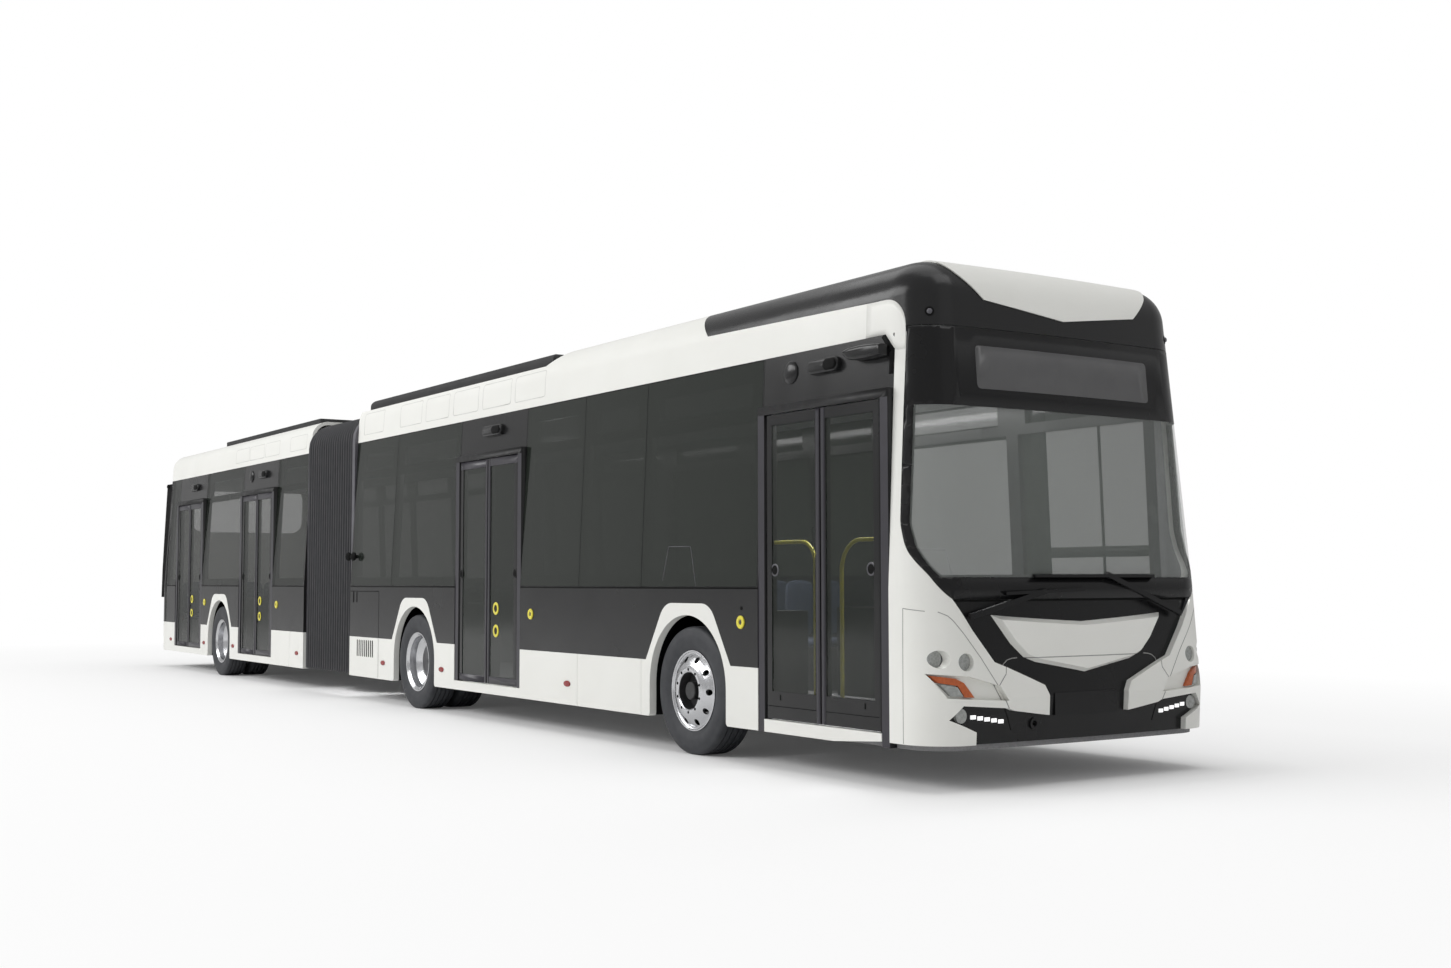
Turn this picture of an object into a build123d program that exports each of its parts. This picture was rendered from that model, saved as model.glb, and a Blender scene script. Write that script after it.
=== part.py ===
from build123d import *
from collections import namedtuple
from math import cos, pi, sin
import os

os.makedirs("parts", exist_ok=True)

# Overall sizes in millimetres: X forward, Y left, Z up, origin on the road under the middle
length = 18100
width = 2550
roof_top = 3320
rear_roof_top = 3225
skirt_z = 250
waist_z = 680
belt_z = 1235
rail_z = 2838
side_lean = 0.0436
wall_thick = 60
pane_thick = 18
seat_gap = 0.3
panel_seam = 4
front_overhang = 2815
wheelbase_front = 5215
wheelbase_rear = 6950
joint_gap = 1570
joint_setback = 2620

# Floor, ceiling and doorways
floor_z = 330
ceiling_z = 2700
door_width = 1420
door_sill = 336
door_top = 2432
header_top = 2490
post_width = 75
post_y = 1270
leaf_thick = 44
leaf_y = 1240
leaf_clear = 6
leaf_split = 12
pin_radius = 12
pin_clear = 0.5
pin_length = 24
nose_offset = door_width / 2 - post_width - leaf_clear - leaf_thick / 2

# Wheels
axle_z = 470
tyre_radius = 478
tyre_width = 275
bead_radius = 287
lip_radius = 298
front_wheel_y = 1100
kingpin_y = 1020
twin_outer_y = 1112
twin_inner_y = 790
arch_radius = 530
arch_centre_z = 500
well_half = 585
well_inner_y = 600
well_top = 1045
well_wall = 20

# Nose and tail
nose_corner = 300
nose_bow = 45
bumper_z = 560
nose_rake = 0.080
roof_radius = 260
tail_corner = 140
tail_bow = 30
tail_rake = 0.055
tail_radius = 200
mask_x = 8590
mask_low = 285
roof_skin = 40
fairing_top = 3190

nose_x = length / 2
tail_x = -length / 2
axle_1 = nose_x - front_overhang
axle_2 = axle_1 - wheelbase_front
axle_3 = axle_2 - wheelbase_rear
pivot_x = axle_2 - joint_setback
front_end = pivot_x + joint_gap / 2
rear_start = pivot_x - joint_gap / 2
reach = 1600

Door = namedtuple("Door", "name x post_low pane_low")
front_doors = [Door("door_1", axle_1 + 1642, skirt_z, 530), Door("door_2", axle_2 + 1720, door_sill, 408)]
rear_doors = [Door("door_3", axle_3 + 1610, door_sill, 408), Door("door_4", axle_3 - 1620, door_sill, 408)]


def half_at(z):
    return width / 2 - max(0, z - belt_z) * side_lean


def nose_at(z):
    if z < bumper_z:
        return nose_x - 20 * (bumper_z - z) / (bumper_z - skirt_z)
    if z < belt_z:
        return nose_x - 55 * (z - bumper_z) / (belt_z - bumper_z)
    return nose_x - 55 - nose_rake * (z - belt_z)


def tail_at(z):
    if z < bumper_z:
        return tail_x + 20 * (bumper_z - z) / (bumper_z - skirt_z)
    if z < belt_z:
        return tail_x
    return tail_x + tail_rake * (z - belt_z)


def front_form(inset):
    top = roof_top - inset
    with BuildPart() as form:
        for z in (skirt_z, bumper_z, belt_z, top):
            half = half_at(z) - inset
            tip = nose_at(z) - inset
            edge = tip - nose_bow
            with BuildSketch(Plane.XY.offset(z)) as plan:
                with BuildLine():
                    Line((front_end, -half), (edge, -half))
                    ThreePointArc((edge, -half), (tip, 0), (edge, half))
                    Line((edge, half), (front_end, half))
                    Line((front_end, half), (front_end, -half))
                make_face()
                corners = plan.vertices().filter_by(lambda v: v.X > front_end + 1)
                fillet(corners, radius=nose_corner - inset)
        loft(ruled=True)
        rim = form.faces().sort_by(Axis.Z)[-1].edges()
        fillet(rim.filter_by(lambda e: e.center().X > front_end + 1), radius=roof_radius - inset)
    return form.part


def rear_form(inset):
    top = rear_roof_top - inset
    with BuildPart() as form:
        for z in (skirt_z, bumper_z, belt_z, top):
            half = half_at(z) - inset
            tip = tail_at(z) + inset
            edge = tip + tail_bow
            with BuildSketch(Plane.XY.offset(z)) as plan:
                with BuildLine():
                    Line((rear_start, -half), (edge, -half))
                    ThreePointArc((edge, -half), (tip, 0), (edge, half))
                    Line((edge, half), (rear_start, half))
                    Line((rear_start, half), (rear_start, -half))
                make_face()
                corners = plan.vertices().filter_by(lambda v: v.X < rear_start - 1)
                fillet(corners, radius=tail_corner - inset)
        loft(ruled=True)
        rim = form.faces().sort_by(Axis.Z)[-1].edges()
        fillet(rim.filter_by(lambda e: e.center().X < rear_start - 1), radius=tail_radius - inset)
    return form.part


front_outer = front_form(0)
front_inner = front_form(wall_thick)
front_lining = front_form(wall_thick + seat_gap)
front_under = front_form(roof_skin)
rear_outer = rear_form(0)
rear_inner = rear_form(wall_thick)
rear_lining = rear_form(wall_thick + seat_gap)
rear_under = rear_form(roof_skin)


# Outline of the white trim over a wheel: half widths at the foot and the top, and the corner's rounding
trim_foot = 592
trim_head = 318
trim_top = 1118
trim_corner = 200


def trim_points(x, grow):
    foot = trim_foot + grow
    head = trim_head + grow
    top = trim_top + grow
    return [(x + foot, waist_z - 5), (x + head, top), (x - head, top), (x - foot, waist_z - 5)]


heel_radius = 28
sill_rise = 42
sill_rise_x = axle_1 + 1795


# Lower white side panels of a car, both sides, cut round the wheels and under the doors
def car_skirts(x0, x1, axles, doors, seams):
    with BuildPart() as skirts:
        for side in (-1, 1):
            y0 = side * (width / 2 - wall_thick / 2)
            with Locations(((x0 + x1) / 2, y0, (skirt_z + waist_z) / 2)):
                Box(x1 - x0, wall_thick, waist_z - skirt_z)
            for x in axles:
                with BuildSketch(Plane.XZ.offset(-side * (width / 2 - wall_thick))) as trim:
                    Polygon(*trim_points(x, 0), align=None)
                    fillet(trim.vertices().filter_by(lambda v: v.Y > waist_z), radius=trim_corner)
                extrude(amount=-side * wall_thick)
        for x in axles:
            with BuildSketch(Plane.XZ):
                with Locations((x, arch_centre_z)):
                    Circle(arch_radius)
                with Locations((x, arch_centre_z - 200)):
                    Rectangle(2 * arch_radius, 400)
            extrude(amount=reach, both=True, mode=Mode.SUBTRACT)
        for door in doors:
            with Locations((door.x, -width / 2, door_sill - seat_gap + 306)):
                Box(door_width + 2 * seat_gap, 200, 612, mode=Mode.SUBTRACT)
            if door.post_low < door_sill:
                post_x = (door_width - post_width) / 2
                with Locations((door.x - post_x, -width / 2, skirt_z),
                               (door.x + post_x, -width / 2, skirt_z)):
                    Box(post_width + 2 * seat_gap, 200, 2 * (door_sill - skirt_z), mode=Mode.SUBTRACT)
            with Locations((door.x - nose_offset, -leaf_y, door_sill),
                           (door.x + nose_offset, -leaf_y, door_sill)):
                Cylinder(pin_radius + pin_clear, 60, mode=Mode.SUBTRACT)
        for x in seams:
            with Locations((x, 0, skirt_z)):
                Box(4, 2 * reach, 2 * (waist_z - skirt_z) + 10, mode=Mode.SUBTRACT)
        feet = skirts.edges().filter_by(Axis.Y).filter_by(lambda e: e.center().Z < skirt_z + 1)
        for x in axles:
            heels = feet.filter_by(lambda e: abs(abs(e.center().X - x) - arch_radius) < 1)
            fillet(heels, radius=heel_radius)
    return skirts.part


# Section of the side wall between two heights and two depths, seen along the bus
def wall_section(side, z0, z1, out, back):
    mid = [belt_z] if z0 < belt_z < z1 else []
    levels = [z0] + mid + [z1]
    face = [(side * (half_at(z) - out), z) for z in levels]
    rear = [(side * (half_at(z) - back), z) for z in reversed(levels)]
    return face + rear


Pane = namedtuple("Pane", "x0 x1")
pane_low = 1240
pane_high = 2832
light_low = 1330
light_high = 2420
light_edge = 62
vent_low = 2500
vent_high = 2700
vent_edge = 150
pane_edge = 3


# Black side wall of a car from the waist to the roof rail, with pane seats, lights and doorways
def car_wall(side, x0, x1, panes, doors, axles):
    with BuildPart() as wall:
        with BuildSketch(Plane.YZ.offset(x0)):
            Polygon(*wall_section(side, waist_z + seat_gap, rail_z, 0, wall_thick), align=None)
        extrude(amount=x1 - x0)
        for pane in panes:
            with BuildSketch(Plane.YZ.offset(pane.x0)):
                Polygon(*wall_section(side, pane_low, pane_high, -50, pane_thick), align=None)
            extrude(amount=pane.x1 - pane.x0, mode=Mode.SUBTRACT)
            with Locations(((pane.x0 + pane.x1) / 2, side * width / 2, (light_low + light_high) / 2)):
                Box(pane.x1 - pane.x0 - 2 * light_edge, 400, light_high - light_low, mode=Mode.SUBTRACT)
            with Locations(((pane.x0 + pane.x1) / 2, side * width / 2, (vent_low + vent_high) / 2)):
                Box(pane.x1 - pane.x0 - 2 * vent_edge, 400, vent_high - vent_low, mode=Mode.SUBTRACT)
        for door in doors:
            with Locations((door.x, side * width / 2, header_top / 2)):
                Box(door_width + 2 * seat_gap, 400, header_top + 2 * seat_gap, mode=Mode.SUBTRACT)
            with Locations((door.x - half_door, side * width / 2, rail_z),
                           (door.x + half_door, side * width / 2, rail_z)):
                Box(panel_seam, 400, 2 * (rail_z - header_top) + 20, mode=Mode.SUBTRACT)
        for x in axles:
            with BuildSketch(Plane.XZ) as trim:
                Polygon(*trim_points(x, seat_gap), align=None)
                fillet(trim.vertices().filter_by(lambda v: v.Y > waist_z), radius=trim_corner)
            extrude(amount=-side * reach, mode=Mode.SUBTRACT)
    return wall.part


# Side window panes, each lying in its seat in the wall
def car_panes(side, panes):
    with BuildPart() as glass:
        for pane in panes:
            with BuildSketch(Plane.YZ.offset(pane.x0 + pane_edge)):
                Polygon(*wall_section(side, pane_low + pane_edge, pane_high - pane_edge, 0,
                                      pane_thick - seat_gap), align=None)
            extrude(amount=pane.x1 - pane.x0 - 2 * pane_edge)
    return glass.part


d1, d2 = front_doors
d3, d4 = rear_doors
half_door = door_width / 2
front_right_panes = [
    Pane(front_end + 30, axle_2 - 631), Pane(axle_2 - 627, d2.x - half_door - 12),
    Pane(d2.x + half_door + 12, axle_1 - 1691), Pane(axle_1 - 1687, axle_1 - 670),
    Pane(axle_1 - 666, d1.x - half_door - 12)]
front_left_panes = [
    Pane(front_end + 30, axle_2 - 631), Pane(axle_2 - 627, d2.x - half_door - 12),
    Pane(d2.x - half_door - 8, d2.x + half_door + 8),
    Pane(d2.x + half_door + 12, axle_1 - 1691), Pane(axle_1 - 1687, axle_1 - 670),
    Pane(axle_1 - 666, d1.x - half_door - 12), Pane(d1.x - half_door - 8, mask_x - 40)]
tail_wall_x = tail_at(rail_z) + tail_corner + 60
rear_right_panes = [
    Pane(d3.x + half_door + 12, rear_start - 30), Pane(d4.x + half_door + 12, d3.x - half_door - 12),
    Pane(tail_wall_x + 20, d4.x - half_door - 12)]
rear_left_panes = [
    Pane(d3.x + half_door + 12, rear_start - 30), Pane(d3.x - half_door + 8, d3.x + half_door + 8),
    Pane(axle_3 - 320, d3.x - half_door + 4), Pane(d4.x - half_door + 8, axle_3 - 324),
    Pane(tail_wall_x + 20, d4.x - half_door + 4)]

# Front car sides
front_skirts_solid = car_skirts(front_end, mask_x - 3, [axle_1, axle_2], front_doors,
                                [axle_1 - 1705, axle_1 - 660, axle_2 - 975])
with BuildPart() as front_skirts:
    add(front_skirts_solid)
    with BuildSketch(Plane.XZ):
        Polygon((sill_rise_x, skirt_z), (sill_rise_x, skirt_z - 20), (mask_x, skirt_z - 20),
                (mask_x, skirt_z + sill_rise), align=None)
    extrude(amount=reach, mode=Mode.SUBTRACT)
front_skirts.part.label = "front_skirts"
export_step(front_skirts.part, "parts/front_skirts.step")

front_right_wall = car_wall(-1, front_end, mask_x - 3, front_right_panes, front_doors, [axle_1, axle_2])
front_left_wall = car_wall(1, front_end, mask_x - 3, front_left_panes, [], [axle_1, axle_2])
with BuildPart() as front_walls:
    add(front_right_wall)
    add(front_left_wall)
front_walls.part.label = "front_walls"
export_step(front_walls.part, "parts/front_walls.step")

front_right_glass = car_panes(-1, front_right_panes)
front_left_glass = car_panes(1, front_left_panes)
with BuildPart() as front_glass:
    add(front_right_glass)
    add(front_left_glass)
front_glass.part.label = "front_glass"
export_step(front_glass.part, "parts/front_glass.step")

# Rear car sides
rear_skirts_solid = car_skirts(tail_wall_x + 3, rear_start, [axle_3], rear_doors,
                               [axle_3 + 3030, axle_3 - 770])
with BuildPart() as rear_skirts:
    add(rear_skirts_solid)
rear_skirts.part.label = "rear_skirts"
export_step(rear_skirts.part, "parts/rear_skirts.step")

rear_right_wall = car_wall(-1, tail_wall_x + 3, rear_start, rear_right_panes, rear_doors, [axle_3])
rear_left_wall = car_wall(1, tail_wall_x + 3, rear_start, rear_left_panes, [], [axle_3])
with BuildPart() as rear_walls:
    add(rear_right_wall)
    add(rear_left_wall)
rear_walls.part.label = "rear_walls"
export_step(rear_walls.part, "parts/rear_walls.step")

rear_right_glass = car_panes(-1, rear_right_panes)
rear_left_glass = car_panes(1, rear_left_panes)

# Door surrounds: two posts and a header that stand upright in the leaning wall
def door_surround(doors):
    with BuildPart() as frames:
        for door in doors:
            with BuildSketch(Plane.XZ.offset(post_y - 90)):
                with Locations((door.x, (door_sill + header_top) / 2)):
                    Rectangle(door_width, header_top - door_sill)
                with Locations((door.x, (door_sill + door_top) / 2 - 10)):
                    Rectangle(door_width - 2 * post_width, door_top - door_sill + 20, mode=Mode.SUBTRACT)
            extrude(amount=90)
            if door.post_low < door_sill:
                post_x = (door_width - post_width) / 2
                foot_y = -(post_y + width / 2 - wall_thick) / 2
                foot_z = (door.post_low + door_sill) / 2
                with Locations((door.x - post_x, foot_y, foot_z), (door.x + post_x, foot_y, foot_z)):
                    Box(post_width, post_y - width / 2 + wall_thick, door_sill - door.post_low)
            with Locations((door.x - nose_offset, -leaf_y, door_top),
                           (door.x + nose_offset, -leaf_y, door_top)):
                Cylinder(pin_radius + pin_clear, 70, mode=Mode.SUBTRACT)
    return frames.part


front_door_solid = door_surround(front_doors)
with BuildPart() as front_door_frames:
    add(front_door_solid)
front_door_frames.part.label = "front_door_frames"
export_step(front_door_frames.part, "parts/front_door_frames.step")

rear_door_solid = door_surround(rear_doors)
with BuildPart() as rear_door_frames:
    add(rear_door_solid)
rear_door_frames.part.label = "rear_door_frames"
export_step(rear_door_frames.part, "parts/rear_door_frames.step")


# One door leaf: a frame with a round nose at the jamb, and its pane; end is +1 at the front jamb
leaf_low = door_sill + 8
leaf_high = door_top - 8
leaf_stile = 52
leaf_rail = 70
leaf_pane = 10


def door_leaf(door, end):
    nose = door.x + end * nose_offset
    free = door.x + end * leaf_split / 2
    left = min(nose, free)
    right = max(nose, free)
    mid = (left + right) / 2
    with BuildPart() as leaf:
        with BuildSketch(Plane.XY.offset(leaf_low)):
            with Locations((mid, -leaf_y)):
                Rectangle(right - left, leaf_thick)
            with Locations((nose, -leaf_y)):
                Circle(leaf_thick / 2)
        extrude(amount=leaf_high - leaf_low)
        with Locations((nose, -leaf_y, (leaf_low + leaf_high) / 2)):
            Cylinder(pin_radius, leaf_high - leaf_low + 2 * pin_length)
        x0 = left + leaf_stile
        x1 = right - leaf_stile
        z0 = door.pane_low
        z1 = leaf_high - leaf_rail
        with Locations(((x0 + x1) / 2, -leaf_y, (z0 + z1) / 2)):
            Box(x1 - x0, 200, z1 - z0, mode=Mode.SUBTRACT)
        with Locations(((x0 + x1) / 2, -leaf_y - 12, (z0 + z1) / 2)):
            Box(x1 - x0 - 2 * seat_gap, leaf_pane, z1 - z0 - 2 * seat_gap)
    return leaf.part


leaf_1a = door_leaf(d1, -1)
leaf_1a.label = "door_1_rear_leaf"
export_step(leaf_1a, "parts/door_1_rear_leaf.step")
leaf_1b = door_leaf(d1, 1)
leaf_1b.label = "door_1_front_leaf"
export_step(leaf_1b, "parts/door_1_front_leaf.step")
leaf_2a = door_leaf(d2, -1)
leaf_2a.label = "door_2_rear_leaf"
export_step(leaf_2a, "parts/door_2_rear_leaf.step")
leaf_2b = door_leaf(d2, 1)
leaf_2b.label = "door_2_front_leaf"
export_step(leaf_2b, "parts/door_2_front_leaf.step")
leaf_3a = door_leaf(d3, -1)
leaf_3a.label = "door_3_rear_leaf"
export_step(leaf_3a, "parts/door_3_rear_leaf.step")
leaf_3b = door_leaf(d3, 1)
leaf_3b.label = "door_3_front_leaf"
export_step(leaf_3b, "parts/door_3_front_leaf.step")
leaf_4a = door_leaf(d4, -1)
leaf_4a.label = "door_4_rear_leaf"
export_step(leaf_4a, "parts/door_4_rear_leaf.step")
leaf_4b = door_leaf(d4, 1)
leaf_4b.label = "door_4_front_leaf"
export_step(leaf_4b, "parts/door_4_front_leaf.step")

# Handrails inside the leaves of the first door: along from the jamb, round a bend and down to the bottom rail
handrail_radius = 13
handrail_y = 1232
handrail_z = 1545
Handrail = namedtuple("Handrail", "name end drop bend")
for rail in (Handrail("front", 1, 187, 200), Handrail("rear", -1, 100, 150)):
    jamb = d1.x + rail.end * (nose_offset - leaf_stile - seat_gap)
    drop_x = d1.x + rail.end * rail.drop
    turn_x = drop_x + rail.end * rail.bend
    arc_x = drop_x + rail.end * rail.bend * (1 - cos(pi / 4))
    arc_z = handrail_z - rail.bend * (1 - cos(pi / 4))
    with BuildPart() as handrail:
        with BuildLine(Plane.XZ.offset(handrail_y)):
            Line((jamb, handrail_z), (turn_x, handrail_z))
            ThreePointArc((turn_x, handrail_z), (arc_x, arc_z), (drop_x, handrail_z - rail.bend))
            Line((drop_x, handrail_z - rail.bend), (drop_x, d1.pane_low + seat_gap))
        with BuildSketch(Plane((jamb, -handrail_y, handrail_z), x_dir=(0, 1, 0), z_dir=(-rail.end, 0, 0))):
            Circle(handrail_radius)
        sweep()
    handrail.part.label = "door_1_" + rail.name + "_handrail"
    export_step(handrail.part, "parts/door_1_" + rail.name + "_handrail.step")


# Floors: a plate notched at the wheels, and a wheel well standing in each notch
def car_floor(lining, axles):
    well_outer = half_at(skirt_z) - wall_thick - seat_gap
    well_long = 2 * (well_half + well_wall)
    with BuildPart() as floor:
        add(lining)
        with Locations((0, 0, (skirt_z + floor_z) / 2)):
            Box(2 * length, 2 * reach, floor_z - skirt_z, mode=Mode.INTERSECT)
        for x in axles:
            for side in (-1, 1):
                with Locations((x, side * (well_inner_y - seat_gap + reach / 2), floor_z)):
                    Box(well_long + 2 * seat_gap, reach, 400, mode=Mode.SUBTRACT)
        for x in axles:
            for side in (-1, 1):
                shell_y = side * (well_inner_y + well_outer) / 2
                with Locations((x, shell_y, (skirt_z + well_top + well_wall) / 2)):
                    Box(well_long, well_outer - well_inner_y, well_top + well_wall - skirt_z)
                with Locations((x, shell_y + side * (well_wall + 100) / 2, well_top / 2)):
                    Box(2 * well_half, well_outer - well_inner_y - well_wall + 100, well_top,
                        mode=Mode.SUBTRACT)
    return floor.part


front_floor_solid = car_floor(front_lining, [axle_1, axle_2])
with BuildPart() as front_floor:
    add(front_floor_solid)
front_floor.part.label = "front_floor"
export_step(front_floor.part, "parts/front_floor.step")

rear_floor_solid = car_floor(rear_lining, [axle_3])
with BuildPart() as rear_floor:
    add(rear_floor_solid)
rear_floor.part.label = "rear_floor"
export_step(rear_floor.part, "parts/rear_floor.step")

# Ceilings: slabs between the walls under the roof
slab_front_x = mask_x - 20
with BuildPart() as front_ceiling:
    with BuildSketch(Plane.YZ.offset(front_end)):
        section = wall_section(-1, ceiling_z, rail_z, wall_thick + seat_gap, wall_thick + 100)[:2]
        Polygon(section[0], section[1], (-section[1][0], rail_z), (-section[0][0], ceiling_z), align=None)
    extrude(amount=slab_front_x - front_end)
front_ceiling.part.label = "front_ceiling"
export_step(front_ceiling.part, "parts/front_ceiling.step")

with BuildPart() as rear_ceiling:
    with BuildSketch(Plane.YZ.offset(tail_wall_x + 3)):
        section = wall_section(-1, ceiling_z, rail_z, wall_thick + seat_gap, wall_thick + 100)[:2]
        Polygon(section[0], section[1], (-section[1][0], rail_z), (-section[0][0], ceiling_z), align=None)
    extrude(amount=rear_start - tail_wall_x - 3)
rear_ceiling.part.label = "rear_ceiling"
export_step(rear_ceiling.part, "parts/rear_ceiling.step")

# White roof fairings and black dome of the front car, parted along one line seen from the side
ramp_x = axle_1 - 2525
dome_x = axle_1 - 80
dome_drop_x = axle_1 + 170
dome_edge_z = 3100
dome_low_z = 3062
dome_turn_x = axle_1 + 2120
with BuildPart() as front_fairings:
    add(front_outer)
    add(front_under, mode=Mode.SUBTRACT)
    with BuildSketch(Plane.XZ):
        Polygon((front_end, rail_z + seat_gap), (mask_x + 40, rail_z + seat_gap),
                (dome_turn_x + 190, dome_low_z - 70), (dome_turn_x, dome_low_z), (dome_drop_x, dome_edge_z),
                (dome_x, roof_top + 20), (ramp_x + 330, roof_top + 20), (ramp_x, fairing_top),
                (front_end, fairing_top), align=None)
    extrude(amount=reach, both=True, mode=Mode.INTERSECT)
fairing_solid = front_fairings.part
insert_edge = [(683, 3060), (857, 3215), (930, 3300), (930, roof_top + 40)]
insert_tip = 2977
insert_face = front_form(-10)
insert_seat = front_form(-seat_gap)
with BuildPart() as dome_insert:
    add(insert_face)
    add(insert_seat, mode=Mode.SUBTRACT)
    with BuildSketch(Plane.YZ.offset(dome_x + 20)):
        Polygon((0, insert_tip), *insert_edge, *[(-y, z) for y, z in reversed(insert_edge)], align=None)
    extrude(amount=4000, mode=Mode.INTERSECT)
with BuildPart() as front_fairings:
    add(fairing_solid)
    add(dome_insert.part)
front_fairings.part.label = "front_fairings"
export_step(front_fairings.part, "parts/front_fairings.step")

screen_top = 2872
with BuildPart() as front_dome:
    add(front_outer)
    add(front_under, mode=Mode.SUBTRACT)
    with BuildSketch(Plane.XZ):
        Polygon((mask_x + 75, screen_top + 4), (dome_turn_x + 195, dome_low_z - 67),
                (dome_turn_x, dome_low_z + 0.5), (dome_drop_x + 0.5, dome_edge_z + 0.5),
                (dome_x + 0.5, roof_top + 20), (nose_x + 100, roof_top + 20), (nose_x + 100, screen_top + 4),
                align=None)
    extrude(amount=reach, both=True, mode=Mode.INTERSECT)
front_dome.part.label = "front_dome"
export_step(front_dome.part, "parts/front_dome.step")

# Black roof cover over the packs of the front car
cover_half = 1085
with BuildPart() as front_cover:
    with BuildSketch(Plane.YZ.offset(front_end + 60)):
        with Locations((0, (rail_z + seat_gap + roof_top) / 2)):
            Rectangle(2 * cover_half, roof_top - rail_z - seat_gap)
    extrude(amount=ramp_x - front_end - 70)
    crown = front_cover.faces().sort_by(Axis.Z)[-1].edges()
    fillet(crown, radius=70)
front_cover.part.label = "front_cover"
export_step(front_cover.part, "parts/front_cover.step")

with BuildPart() as rear_fairings:
    add(rear_outer)
    add(rear_under, mode=Mode.SUBTRACT)
    with Locations((0, 0, rail_z + seat_gap + 500)):
        Box(2 * length, 2 * reach, 1000, mode=Mode.INTERSECT)
rear_fairings.part.label = "rear_fairings"
export_step(rear_fairings.part, "parts/rear_fairings.step")

rear_cover_top = 3300
with BuildPart() as rear_cover:
    with BuildSketch(Plane.YZ.offset(rear_start - 4350)):
        with Locations((0, (rear_roof_top + seat_gap + rear_cover_top) / 2)):
            Rectangle(1880, rear_cover_top - rear_roof_top - seat_gap)
    extrude(amount=4000)
    crown = rear_cover.faces().sort_by(Axis.Z)[-1].edges()
    fillet(crown, radius=50)
rear_cover.part.label = "rear_cover"
export_step(rear_cover.part, "parts/rear_cover.step")

# Windscreen, cut along its edge as seen from the side
screen_low = 1168
screen_edge = [(mask_x + 78, screen_top), (mask_x + 82, 2553), (mask_x + 90, 1894), (mask_x + 94, 1633),
               (mask_x + 140, 1477), (mask_x + 278, 1317), (mask_x + 367, screen_low)]
screen_round = 300
screen_thick = 14
front_glazed = front_form(screen_thick)
with BuildPart() as windscreen:
    add(front_outer)
    add(front_glazed, mode=Mode.SUBTRACT)
    with BuildSketch(Plane.XZ) as side_view:
        Polygon(*screen_edge, (nose_x + 100, screen_low), (nose_x + 100, screen_top), align=None)
        bends = side_view.vertices().filter_by(lambda v: v.X < nose_x and 1250 < v.Y < 1700)
        fillet(bends, radius=screen_round)
    extrude(amount=reach, both=True, mode=Mode.INTERSECT)
windscreen.part.label = "windscreen"
export_step(windscreen.part, "parts/windscreen.step")

# Round lamps of each side: distance outward, height, radius and the place of the lens's face
Lamp = namedtuple("Lamp", "y z r face_x")
head_lamps = [Lamp(1164, 806, 54, nose_x - 166), Lamp(1009, 787, 54, nose_x - 76)]
fog_lamp = Lamp(1032, 462, 44, nose_x - 74)
lens_thick = 24

# Black lower band of the nose and the white cheeks beside it, parted as seen from the front
band_edge = [(1076, screen_low), (947, 978), (790, 783), (700, 752), (534, 688), (390, 631), (355, 569),
             (354, 442), (646, 481), (690, 498), (1043, 525), (1127, 441), (942, 363), (942, mask_low)]
band_in = 40
shield_edge = [(764, 1070), (630, 884), (530, 790), (430, 752)]
shield_top = 1034
shield_tip = 672
shield_taper = 30
plate_z = 505
plate_width = 560
plate_height = 140
plate_face = nose_x - 36
plate_back = nose_x - 80
tow_y = -450
tow_z = 392
tow_radius = 19
tow_boss = 36
tow_length = 80
tow_face = nose_x - 45
front_recess = front_form(band_in)
front_seat = front_form(band_in - seat_gap)
front_lens_face = front_form(band_in - 22)
front_lens_back = front_form(band_in - seat_gap)
front_led_face = front_form(band_in - 8)
front_led_back = front_form(band_in - seat_gap)
wiper_top = front_form(-26)
wiper_foot = front_form(-seat_gap)


def mirrored(points):
    return [(-y, z) for y, z in points] + [(y, z) for y, z in reversed(points)]


band_outline = mirrored(list(reversed(band_edge)))
shield_outline = [(0, shield_top)] + [(-y, z) for y, z in shield_edge] + [(0, shield_tip)]
shield_outline = shield_outline + [(y, z) for y, z in reversed(shield_edge)]
with BuildPart() as front_band:
    add(front_recess)
    add(front_inner, mode=Mode.SUBTRACT)
    with BuildSketch(Plane.YZ.offset(mask_x)):
        Polygon(*band_outline, align=None)
    extrude(amount=1000, mode=Mode.INTERSECT)
    with Locations(((plate_back + plate_face) / 2, 0, plate_z)):
        Box(plate_face - plate_back, plate_width, plate_height)
    with Locations(Plane((tow_face - tow_length / 2, tow_y, tow_z), x_dir=(0, 1, 0), z_dir=(1, 0, 0))):
        Cylinder(tow_boss, tow_length)
        Cylinder(tow_radius, tow_length + 40, mode=Mode.SUBTRACT)
    with BuildSketch(Plane.YZ.offset(mask_x + 100)):
        with Locations((-fog_lamp.y, fog_lamp.z), (fog_lamp.y, fog_lamp.z)):
            Circle(fog_lamp.r + seat_gap)
    extrude(amount=600, mode=Mode.SUBTRACT)
front_band.part.label = "front_band"
export_step(front_band.part, "parts/front_band.step")

# Slanted pocket of the indicator in each cheek, as distances outward and heights
pocket = [(1228, 718), (1000, 702), (760, 640), (690, 545), (940, 560), (1138, 572)]
indicator = [(1206, 708), (1076, 690), (1022, 662), (950, 572), (1022, 576), (1062, 645), (1165, 664)]
side_lamp = [(1160, 656), (1066, 638), (1030, 580), (1108, 586)]

# Right cheek: an outer layer with the pocket, an inner layer behind it, both cut for the lamps
cheek_side = [(mask_x, mask_low), (mask_x, rail_z), (screen_edge[0][0] - 0.5, rail_z)]
cheek_side = cheek_side + [(x - 0.5, z) for x, z in screen_edge[1:]]
cheek_side = cheek_side + [(nose_x + 100, screen_low - 0.5), (nose_x + 100, mask_low)]


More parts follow.
